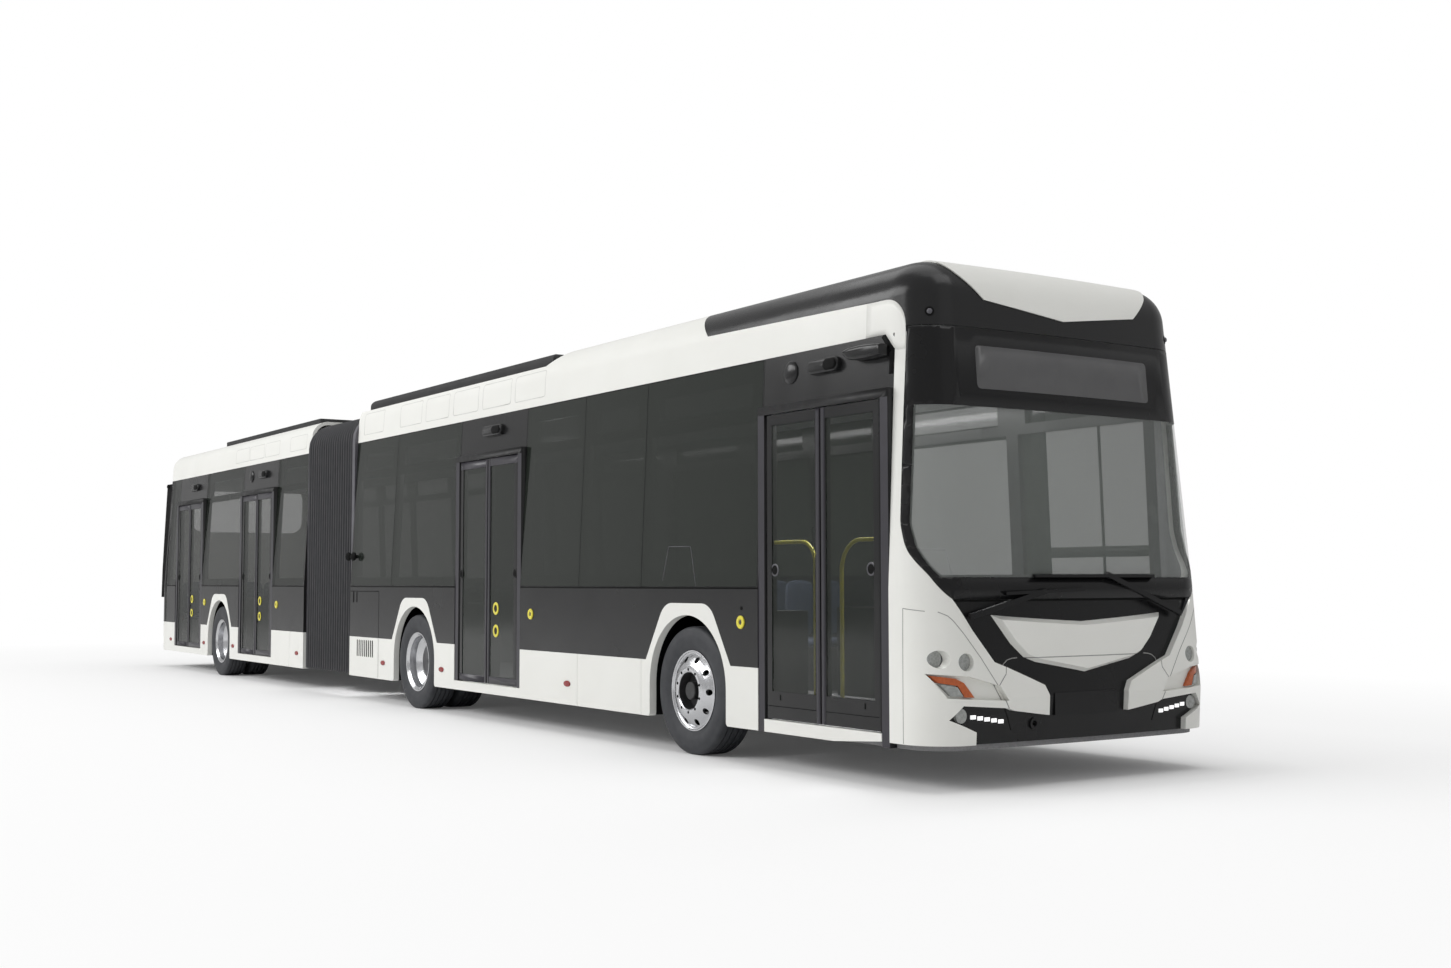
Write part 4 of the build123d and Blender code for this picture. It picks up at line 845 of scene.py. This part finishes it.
belt_line = 1.231
belt_wide = 0.012
hatch_x = 0.05
hatch_top = 1.18
vent_count = 9
vent_first = -0.575
vent_step = 0.057
fin_back = -9.047
hook = [(0.030, 0.0), (0.034, 0.020), (0.032, 0.040), (0.020, 0.052), (0.0, 0.055)]
reflector_z = 0.425
reflector_turns = [2 * pi * n / 20 for n in range(20)]
reflector = [(0.055 * cos(turn), 0.025 * sin(turn)) for turn in reflector_turns]
for side, label in sides:
    dark, grey = bmesh.new(), bmesh.new()
    belt = [(front_end + 0.01, belt_line), (wall_front, belt_line)]
    hatch = [(hatch_x, 0.69), (hatch_x, hatch_top), (front_end + 0.02, hatch_top)]
    line(dark, "front_walls", side, belt, belt_wide, seam_lift, side_depth)
    line(dark, "front_walls", side, hatch, 0.008, seam_lift, side_depth)
    for x in (-0.707, -0.606):
        catch = rounded(x - 0.014, 1.055, x + 0.014, 1.175, 0.012, 3)
        skin(dark, "front_walls", side, catch, film_lift, side_depth)
    line(grey, "front_skirts", side, [(hatch_x, 0.26), (hatch_x, 0.675)], 0.006, seam_lift, side_depth)
    make_piece("front_side_lines_" + label, dark, "front_car", "seam_dark", thick=film)
    make_piece("front_skirt_lines_" + label, grey, "front_car", "seam_grey", thick=film)
    vents = bmesh.new()
    for n in range(vent_count):
        x = vent_first + vent_step * n
        vent = rounded(x - 0.013, 0.468, x + 0.013, 0.652, 0.0125, 4)
        skin(vents, "front_skirts", side, vent, seam_lift, side_depth)
    make_piece("joint_vents_" + label, vents, "front_car", "seam_dark", thick=film)
    for node, car, places in (("front_skirts", "front_car", (4.356, 1.73, 0.192)),
                              ("rear_skirts", "rear_car", (-2.615, -5.249, -6.659, -8.459))):
        red = bmesh.new()
        for x in places:
            plate(red, reflector, 0.009, seat(node, (x, 2.0 * side.y, reflector_z), -side), 0.003)
        make_piece(car + "_reflectors_" + label, red, car, "reflector_red")
    dark = bmesh.new()
    belt = [(wall_back, belt_line), (rear_start - 0.01, belt_line)]
    line(dark, "rear_walls", side, belt, belt_wide, seam_lift, side_depth)
    make_piece("rear_side_lines_" + label, dark, "rear_car", "seam_dark", thick=film)
    corner, fin = bmesh.new(), bmesh.new()
    skin(corner, "rear_panel", side, block(-9.022, 0.683, -8.7, rail_z), film_lift, 1.0)
    make_piece("tail_corner_" + label, corner, "rear_car", "black_panel", thick=film)
    sections = []
    for z, out in ((1.055, 0.006), (1.5, 0.010), (2.0, 0.013), (2.4, 0.014), (2.80, 0.014)):
        tail_x = -9.03 + 0.05 * (z - 1.0)
        corners = [(tail_x + 0.11, -0.012), (fin_back, out), (fin_back, -0.03), (tail_x + 0.02, -0.10)]
        sections.append([fin.verts.new((x, side.y * (half_at(z) + y), z)) for x, y in corners])
    bridge(fin, sections)
    fin.faces.new(sections[0])
    fin.faces.new(sections[-1])
    lathe(fin, hook, frame_at(Vector((-8.99, side.y * 1.19, 2.765)), side), 18)
    make_piece("tail_fin_" + label, fin, "rear_car", "seam_dark")

pane_lines = bmesh.new()
pane_hatch = [(5.89, 1.285), (5.963, 1.544), (6.275, 1.538), (6.364, 1.25)]
line(pane_lines, "front_glass", right_side, pane_hatch, 0.005, seam_lift)
make_piece("pane_hatch", pane_lines, "front_car", "edge_grey", thick=film)
bars = bmesh.new()
for x0, z0, x1, z1 in ((7.155, 1.24, 7.467, 2.84), (7.993, 1.24, 8.022, 2.5), (8.53, 1.24, 8.6, 2.84),
                       (7.467, 1.24, 8.53, 1.31), (7.467, 1.455, 8.53, 1.535), (7.467, 2.44, 8.53, 2.84),
                       (5.56, 1.24, 7.155, 1.31), (5.56, 2.40, 7.155, 2.52), (5.56, 2.69, 7.155, 2.84)):
    skin(bars, "front_glass", left_side, block(x0, z0, x1, z1), seam_lift)
make_piece("driver_window_bars", bars, "front_car", "black_trim", thick=film)

# White corner over the door pillar, its black bracket and the camera arms

corner_top = [(8.30, 3.061), (8.36, 3.061), (8.44, 3.061), (8.50, 3.060), (8.535, 3.056), (8.565, 3.047),
              (8.588, 3.035), (8.612, 3.014), (8.630, 2.990), (8.645, 2.960), (8.655, 2.925), (8.661, 2.885),
              (8.664, 2.840)]
corner_rows = 6
corner_lift = 0.0016


# How far the body's side is drawn in towards the nose
def drawn_in(x, z):
    return (1.72 + 2.55 * (z - 2.83)) * max(0.0, x - 8.54) ** 2


def corner_plate(bm, side):
    columns = []
    for x, top in corner_top:
        low = rail_z - 1.1 * min(max(x - 8.50, 0.0), 0.1)
        column = []
        for n in range(corner_rows + 1):
            z = low + (top - low) * n / corner_rows
            inset = 0.0 if z < rail_z and x < 8.6 else drawn_in(x, z)
            column.append(bm.verts.new((x, side.y * (half_at(z) - inset + corner_lift), z)))
        columns.append(column)
    for column, after in zip(columns, columns[1:]):
        for n in range(corner_rows):
            bm.faces.new((column[n], after[n], after[n + 1], column[n + 1]))


arm_outline = [(-0.20, 0.020), (-0.17, 0.034), (-0.10, 0.044), (0.0, 0.046), (0.10, 0.042), (0.20, 0.032),
               (0.20, -0.040), (0.05, -0.046), (-0.06, -0.044), (-0.13, -0.034), (-0.18, 0.002)]
bracket_line = [(8.475, 2.836), (8.562, 2.728), (8.562, 2.58)]
white, bracket, arms = bmesh.new(), bmesh.new(), bmesh.new()
for side in (right_side, left_side):
    corner_plate(white, side)
    line(bracket, "front_walls", side, bracket_line, 0.036, 0.003, side_depth)
    place = Matrix.Translation((8.345, 1.232 * side.y, 2.738)) @ frame_at(Vector(), side)
    outline = arm_outline if side is right_side else mirrored(arm_outline)
    plate(arms, outline, 0.07, place, 0.02)
make_piece("pillar_corners", white, "front_car", "white_paint", thick=film)
make_piece("pillar_brackets", bracket, "front_car", "seam_dark", thick=0.003)
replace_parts(make_piece("camera_arms", arms, "front_car", "black_panel"), "front_cameras")
eye_disc = [(0.030, 0.0), (0.030, 0.002), (0.0, 0.002)]
eye_ball = [(0.018, 0.002), (0.017, 0.008), (0.011, 0.014), (0.0, 0.017)]
eyes, balls = bmesh.new(), bmesh.new()
for way in (-1, 1):
    spot = seat("front_dome", (9.273, 1.55 * way, 3.06), (-0.5, -0.472 * way, -0.1))
    lathe(eyes, eye_disc, spot, 24)
    lathe(balls, eye_ball, spot, 20)
make_piece("dome_eyes", eyes, "front_car", "seam_dark")
make_piece("dome_eye_balls", balls, "front_car", "edge_grey")

# Glass: tinted panes, clearer beside the driver and in the tail

joint_panes_end = 2.1
driver_pane_start = 5.5
tail_pane_end = -8.9
for glass, car in (("front_glass", "front_car"), ("rear_glass", "rear_car")):
    kinds = {}
    for solid, low, high in loose_solids(glass):
        if car == "front_car" and high.x < joint_panes_end:
            kind = "joint_glass"
        elif car == "front_car":
            kind = "driver_glass" if low.y > 0 and low.x > driver_pane_start else "side_glass"
        else:
            kind = "tail_glass" if high.x < tail_pane_end else "rear_side_glass"
        join(kinds.setdefault(kind, bmesh.new()), solid)
    for kind, form in kinds.items():
        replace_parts(make_piece(car + "_" + kind, form, car, kind), glass)

# Cabin lining below the windows

for walls, car, x0, x1 in (("front_walls", "front_car", front_end + 0.01, wall_front),
                           ("rear_walls", "rear_car", wall_back, rear_start - 0.01)):
    lining = bmesh.new()
    for side in (right_side, left_side):
        skin(lining, walls, side, block(x0, 0.685, x1, 1.24), film, -1.2, -1.0)
    make_piece(car + "_lining", lining, car, "lining_grey", thick=lining_film)
lining = bmesh.new()
for side in (right_side, left_side):
    skin(lining, "front_mask", side, block(8.45, 1.0, 8.95, rail_z), film, -1.3, -1.0)
make_piece("pillar_lining", lining, "front_car", "cab_plastic", thick=lining_film)

# Knobs on either side of the joint

knob = [(0.018, 0.0), (0.018, 0.020), (0.045, 0.030), (0.050, 0.048), (0.030, 0.070), (0.0, 0.078)]
knobs = bmesh.new()
for side in (right_side, left_side):
    turned_on(knobs, "front_glass", side, -0.645, 1.56, knob, 20)
    frame_spot = Vector((front_end - 0.05, side.y * (bellows_half - 0.002), 1.565))
    lathe(knobs, knob, frame_at(frame_spot, side), 20)
make_piece("joint_knobs", knobs, "front_car", "seam_dark")

# Wheels: grooved tyres, dark hubs and lug holes

axle_z = 0.47
wheel_rows = {"front": (6.235, (1.100,)), "mid": (1.020, (1.112, 0.790)), "rear": (-5.930, (1.112, 0.790))}
tread_half = 0.1045
tread_radius = 0.478
crown_drop = 0.003
wall_bands = ((0.318, 0.340), (0.425, 0.437))
band_deep = 0.0015
groove_places = (0.072, 0.025, -0.025, -0.072)
groove_half = 0.0045
groove_deep = 0.013


def arc_through(a, b, c, steps):
    (ax, ay), (bx, by), (cx, cy) = a, b, c
    double = 2 * (ax * (by - cy) + bx * (cy - ay) + cx * (ay - by))
    aa, bb, cc = ax * ax + ay * ay, bx * bx + by * by, cx * cx + cy * cy
    ux = (aa * (by - cy) + bb * (cy - ay) + cc * (ay - by)) / double
    uy = (aa * (cx - bx) + bb * (ax - cx) + cc * (bx - ax)) / double
    radius = hypot(ax - ux, ay - uy)
    start = atan2(ay - uy, ax - ux)
    sweep = (atan2(cy - uy, cx - ux) - start + pi) % (2 * pi) - pi
    angles = [start + sweep * n / steps for n in range(steps + 1)]
    return [(ux + radius * cos(t), uy + radius * sin(t)) for t in angles]


def crown(h):
    return tread_radius - crown_drop * (h / tread_half) ** 2


# Tyre section as radius and distance outward, once round
def tyre_section():
    wall = [(0.095, 0.287)] + arc_through((0.112, 0.300), (0.1375, 0.390), (0.1255, 0.456), 12)
    ridged = []
    for h, r in wall:
        sunk = any(low < r < high for low, high in wall_bands)
        ridged.append((h - band_deep if sunk else h, r))
    outer = ridged + [(0.1185, 0.469), (tread_half, crown(tread_half))]
    tread = []
    for g in groove_places:
        tread += [(g + groove_half, crown(g)), (g + groove_half - 0.001, crown(g) - groove_deep),
                  (g - groove_half + 0.001, crown(g) - groove_deep), (g - groove_half, crown(g))]
    inner = [(-h, r) for h, r in reversed(outer)]
    ring = outer + tread + inner
    return [(r, h) for h, r in ring + ring[:1]]


hub_liner = [(0.1374, 0.149), (0.1374, 0.067), (0.0665, 0.067), (0.0665, 0.138), (0.061, 0.1435),
             (0.0, 0.1435)]
hub_plate = [(0.175, -0.0128), (0.174, -0.0112), (0.160, -0.0102), (0.0, -0.0102)]
hub_end = [(0.030, -0.0102), (0.030, -0.006), (0.022, -0.003), (0.0, -0.002)]
lug_deep = 0.0012
lug_hole = [(0.0105, 0.0), (0.0105, lug_deep), (0.0, lug_deep)]
lug_count = 10
lug_circle = 0.158
lug_face = 0.1582
for where, (x, rows) in wheel_rows.items():
    for side, label in sides:
        wheel = where + "_wheel_" + label
        tyres = bmesh.new()
        for y in rows:
            lathe(tyres, tyre_section(), frame_at(Vector((x, side.y * y, axle_z)), side), 72)
        bmesh.ops.remove_doubles(tyres, verts=tyres.verts[:], dist=1e-6)
        node = where + ("_tyre_" if len(rows) == 1 else "_tyres_") + label
        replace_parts(make_piece(node + "_treaded", tyres, wheel, "tyre", crease=40.0), node)
        hub, dots = bmesh.new(), bmesh.new()
        middle = frame_at(Vector((x, side.y * rows[0], axle_z)), side)
        if where == "front":
            lathe(hub, hub_liner, middle, 48)
            for n in range(lug_count):
                a = 2 * pi * (n + 0.5) / lug_count
                spot = Matrix.Translation((lug_circle * cos(a), lug_circle * sin(a), lug_face))
                lathe(dots, lug_hole, middle @ spot, 16)
        else:
            lathe(hub, hub_plate, middle, 48)
            lathe(dots, hub_end, middle, 32)
        make_piece(wheel + "_hub", hub, wheel, "hub_dark" if where == "front" else "hub_grey")
        make_piece(wheel + "_lug_marks", dots, wheel, "seam_dark")

# Wheel wells in black under the floor plates

deck_limit = 0.9
for floor, car in (("front_floor", "front_car"), ("rear_floor", "rear_car")):
    wells, deck = bmesh.new(), bmesh.new()
    for solid, low, high in loose_solids(floor):
        join(wells if high.z > deck_limit else deck, solid)
    for name, form, finish in (("_wells", wells, "black_trim"), ("_deck", deck, "floor_grey")):
        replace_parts(make_piece(floor + name, form, car, finish), floor)

# Seats: padded cushions and backs on plain pedestals

seat_depth = 0.43
cushion_low, cushion_high = 0.705, 0.795
back_low, back_high = 0.80, 1.29
back_thick = 0.06
pair_wide, bench_wide = 0.62, 2.1
pad_gap = 0.004
fullness = 0.35
pedestal_low = 0.332
pedestal_half = 0.129
corner_round = 0.10
side_pinch = 0.10


# Crowned cushion between two corners, full in the middle and drawn in along its sides
def cushion(bm, low, high, crown_axis):
    pad = bmesh.new()
    bmesh.ops.create_cube(pad, size=2.0)
    bmesh.ops.subdivide_edges(pad, edges=pad.edges[:], cuts=5, use_grid_fill=True)
    middle = (low + high) / 2
    half = (high - low) / 2
    for vert in pad.verts:
        u = vert.co.copy()
        others = [u[k] for k in range(3) if k != crown_axis]
        round_off = 1 - corner_round * abs(others[0] * others[1]) ** 3
        pinch = 1 - side_pinch * abs(u[crown_axis]) ** 2 * max(abs(others[0]), abs(others[1])) ** 4
        swell = 1 - fullness * (1 - (1 - others[0] ** 2) * (1 - others[1] ** 2))
        for k in range(3):
            u[k] *= swell if k == crown_axis else round_off * pinch
        vert.co = middle + Vector([u[k] * half[k] for k in range(3)])
    join(bm, pad)


# Rows of seats: x and y of the middle, and the number of places
seat_rows = {
    "front": [(5.135, 0.86, 2), (4.335, 0.86, 2), (3.535, 0.86, 2), (2.92, 0.86, 2), (2.12, 0.86, 2),
              (-0.08, 0.86, 2), (5.135, -0.86, 2), (4.335, -0.86, 2), (-0.08, -0.86, 2)],
    "rear": [(-3.03, 0.86, 2), (-3.83, 0.86, 2), (-4.63, 0.86, 2), (-7.03, 0.86, 2), (-7.83, 0.86, 2),
             (-8.57, 0.0, 5)]}
for where, rows in seat_rows.items():
    pads, shells = bmesh.new(), bmesh.new()
    for x, y, places in rows:
        wide = pair_wide if places == 2 else bench_wide
        each = wide / places
        for n in range(places):
            y0 = y - wide / 2 + each * n + pad_gap
            y1 = y0 + each - 2 * pad_gap
            x0, x1 = x - seat_depth / 2, x + seat_depth / 2
            cushion(pads, Vector((x0 + back_thick, y0, cushion_low)), Vector((x1, y1, cushion_high)), 2)
            cushion(pads, Vector((x0, y0, back_low)), Vector((x0 + back_thick, y1, back_high)), 0)
        corners = rounded(-pedestal_half, -wide / 4, pedestal_half, wide / 4, 0.04, 4)
        plate(shells, corners, cushion_low - pedestal_low, Matrix.Translation((x, y, pedestal_low)))
    body = where + "_car"
    padded = make_piece(where + "_seat_cushions", pads, body, "seat_fabric", crease=60.0)
    soft = padded.modifiers.new("soft", "SUBSURF")
    soft.levels = soft.render_levels = 1
    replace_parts(padded, where + "_seats")
    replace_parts(make_piece(where + "_seat_pedestals", shells, body, "cab_plastic"), where + "_seats")


# Studio: pale floor, white surround and soft lights

fill_strength = 0.5
seen_strength = 1.0
floor_half = 220.0


def lit_world():
    world = bpy.data.worlds.new("studio")
    world.use_nodes = True
    scene.world = world
    tree = world.node_tree
    tree.nodes.clear()
    path = tree.nodes.new("ShaderNodeLightPath")
    mix = tree.nodes.new("ShaderNodeMixShader")
    out = tree.nodes.new("ShaderNodeOutputWorld")
    tree.links.new(path.outputs["Is Camera Ray"], mix.inputs["Fac"])
    for socket, strength in ((1, fill_strength), (2, seen_strength)):
        white = tree.nodes.new("ShaderNodeBackground")
        white.inputs["Color"].default_value = (1.0, 1.0, 1.0, 1.0)
        white.inputs["Strength"].default_value = strength
        tree.links.new(white.outputs[0], mix.inputs[socket])
    tree.links.new(mix.outputs[0], out.inputs["Surface"])


# Floor that keeps the shadows by the bus and fades to white away from it
def pale_floor():
    mesh = bpy.data.meshes.new("floor")
    corners = [(x, y, 0) for x, y in block(-floor_half, -floor_half, floor_half, floor_half)]
    mesh.from_pydata(corners, [], [(0, 1, 2, 3)])
    obj = bpy.data.objects.new("floor", mesh)
    scene.collection.objects.link(obj)
    mat = bpy.data.materials.new("pale_floor")
    mat.use_nodes = True
    set_look(mat, (0.9, 0.9, 0.9), 0.9, specular=0.1)
    tree = mat.node_tree
    shader = tree.nodes["Principled BSDF"]
    path = tree.nodes.new("ShaderNodeLightPath")
    coords = tree.nodes.new("ShaderNodeTexCoord")
    steps = []
    for operation, values in (("ABSOLUTE", None), ("SUBTRACT", (8.9, 1.2, 0.0)), ("MAXIMUM", (0.0, 0.0, 0.0)),
                              ("LENGTH", None)):
        step = tree.nodes.new("ShaderNodeVectorMath")
        step.operation = operation
        if values:
            step.inputs[1].default_value = values
        tree.links.new(steps[-1].outputs["Vector"] if steps else coords.outputs["Object"], step.inputs[0])
        steps.append(step)
    tenth = tree.nodes.new("ShaderNodeMath")
    tenth.operation = "MULTIPLY"
    tenth.inputs[1].default_value = 0.1
    fade = tree.nodes.new("ShaderNodeValToRGB")
    stops = fade.color_ramp.elements
    stops[0].color = (0.05, 0.05, 0.05, 1.0)
    stops[1].color = (1.0, 1.0, 1.0, 1.0)
    for place, level in ((0.03, 0.30), (0.08, 0.54), (0.3, 0.76)):
        stops.new(place).color = (level, level, level, 1.0)
    part = tree.nodes.new("ShaderNodeMath")
    part.operation = "MULTIPLY"
    white = tree.nodes.new("ShaderNodeEmission")
    mix = tree.nodes.new("ShaderNodeMixShader")
    tree.links.new(steps[-1].outputs["Value"], tenth.inputs[0])
    tree.links.new(tenth.outputs[0], fade.inputs["Fac"])
    tree.links.new(path.outputs["Is Camera Ray"], part.inputs[0])
    tree.links.new(fade.outputs["Color"], part.inputs[1])
    tree.links.new(part.outputs[0], mix.inputs["Fac"])
    tree.links.new(shader.outputs[0], mix.inputs[1])
    tree.links.new(white.outputs[0], mix.inputs[2])
    tree.links.new(mix.outputs[0], tree.nodes["Material Output"].inputs["Surface"])
    mesh.materials.append(mat)


def area_light(name, place, target, size, power):
    data = bpy.data.lights.new(name, "AREA")
    data.shape = "RECTANGLE"
    data.size = size[0]
    data.size_y = size[1]
    data.energy = power
    obj = bpy.data.objects.new(name, data)
    obj.location = place
    obj.rotation_euler = (Vector(target) - Vector(place)).to_track_quat("-Z", "Y").to_euler()
    obj.visible_camera = False
    scene.collection.objects.link(obj)


lit_world()
pale_floor()
area_light("key", (-6.0, -20.0, 13.5), (-3.0, 0.0, 1.5), (28.0, 8.0), 3500.0)
area_light("front", (24.0, 2.0, 9.0), (6.0, 0.0, 1.5), (10.0, 8.0), 40.0)
area_light("top", (3.0, 0.0, 15.0), (3.0, 0.0, 0.0), (20.0, 8.0), 560.0)
area_light("crown", (10.6, 0.0, 6.2), (8.8, 0.0, 3.1), (2.4, 1.6), 22.0)
area_light("front_cabin", (3.9, 0.0, 2.68), (3.9, 0.0, 0.0), (9.0, 0.9), 300.0)
area_light("front_step", (7.88, -0.62, 2.62), (7.88, -1.05, 0.9), (1.1, 0.3), 60.0)
area_light("middle_step", (2.74, -0.62, 2.62), (2.74, -1.05, 0.6), (1.1, 0.3), 45.0)
area_light("rear_cabin", (-5.6, 0.0, 2.68), (-5.6, 0.0, 0.0), (5.6, 0.9), 16.0)


# Camera, fitted to the photograph's frame
image_width = 1451
focal_pixels = 1576.64
sensor_mm = 36.0
camera_place = Vector((16.194, -7.526, 1.276))
yaw, pitch, roll = radians(33.5425), radians(3.5523), radians(-0.0858)

camera_data = bpy.data.cameras.new("camera")
camera_data.sensor_width = sensor_mm
camera_data.lens = focal_pixels / image_width * sensor_mm
camera_data.clip_end = 400.0
camera = bpy.data.objects.new("camera", camera_data)
scene.collection.objects.link(camera)
ahead = Vector((-cos(yaw) * cos(pitch), sin(yaw) * cos(pitch), sin(pitch)))
level = ahead.cross(upward).normalized()
upright = level.cross(ahead)
right = cos(roll) * level + sin(roll) * upright
above = -sin(roll) * level + cos(roll) * upright
turn = Matrix((right, above, -ahead)).transposed()
camera.matrix_world = Matrix.Translation(camera_place) @ turn.to_4x4()
scene.camera = camera
scene.view_settings.view_transform = "Standard"
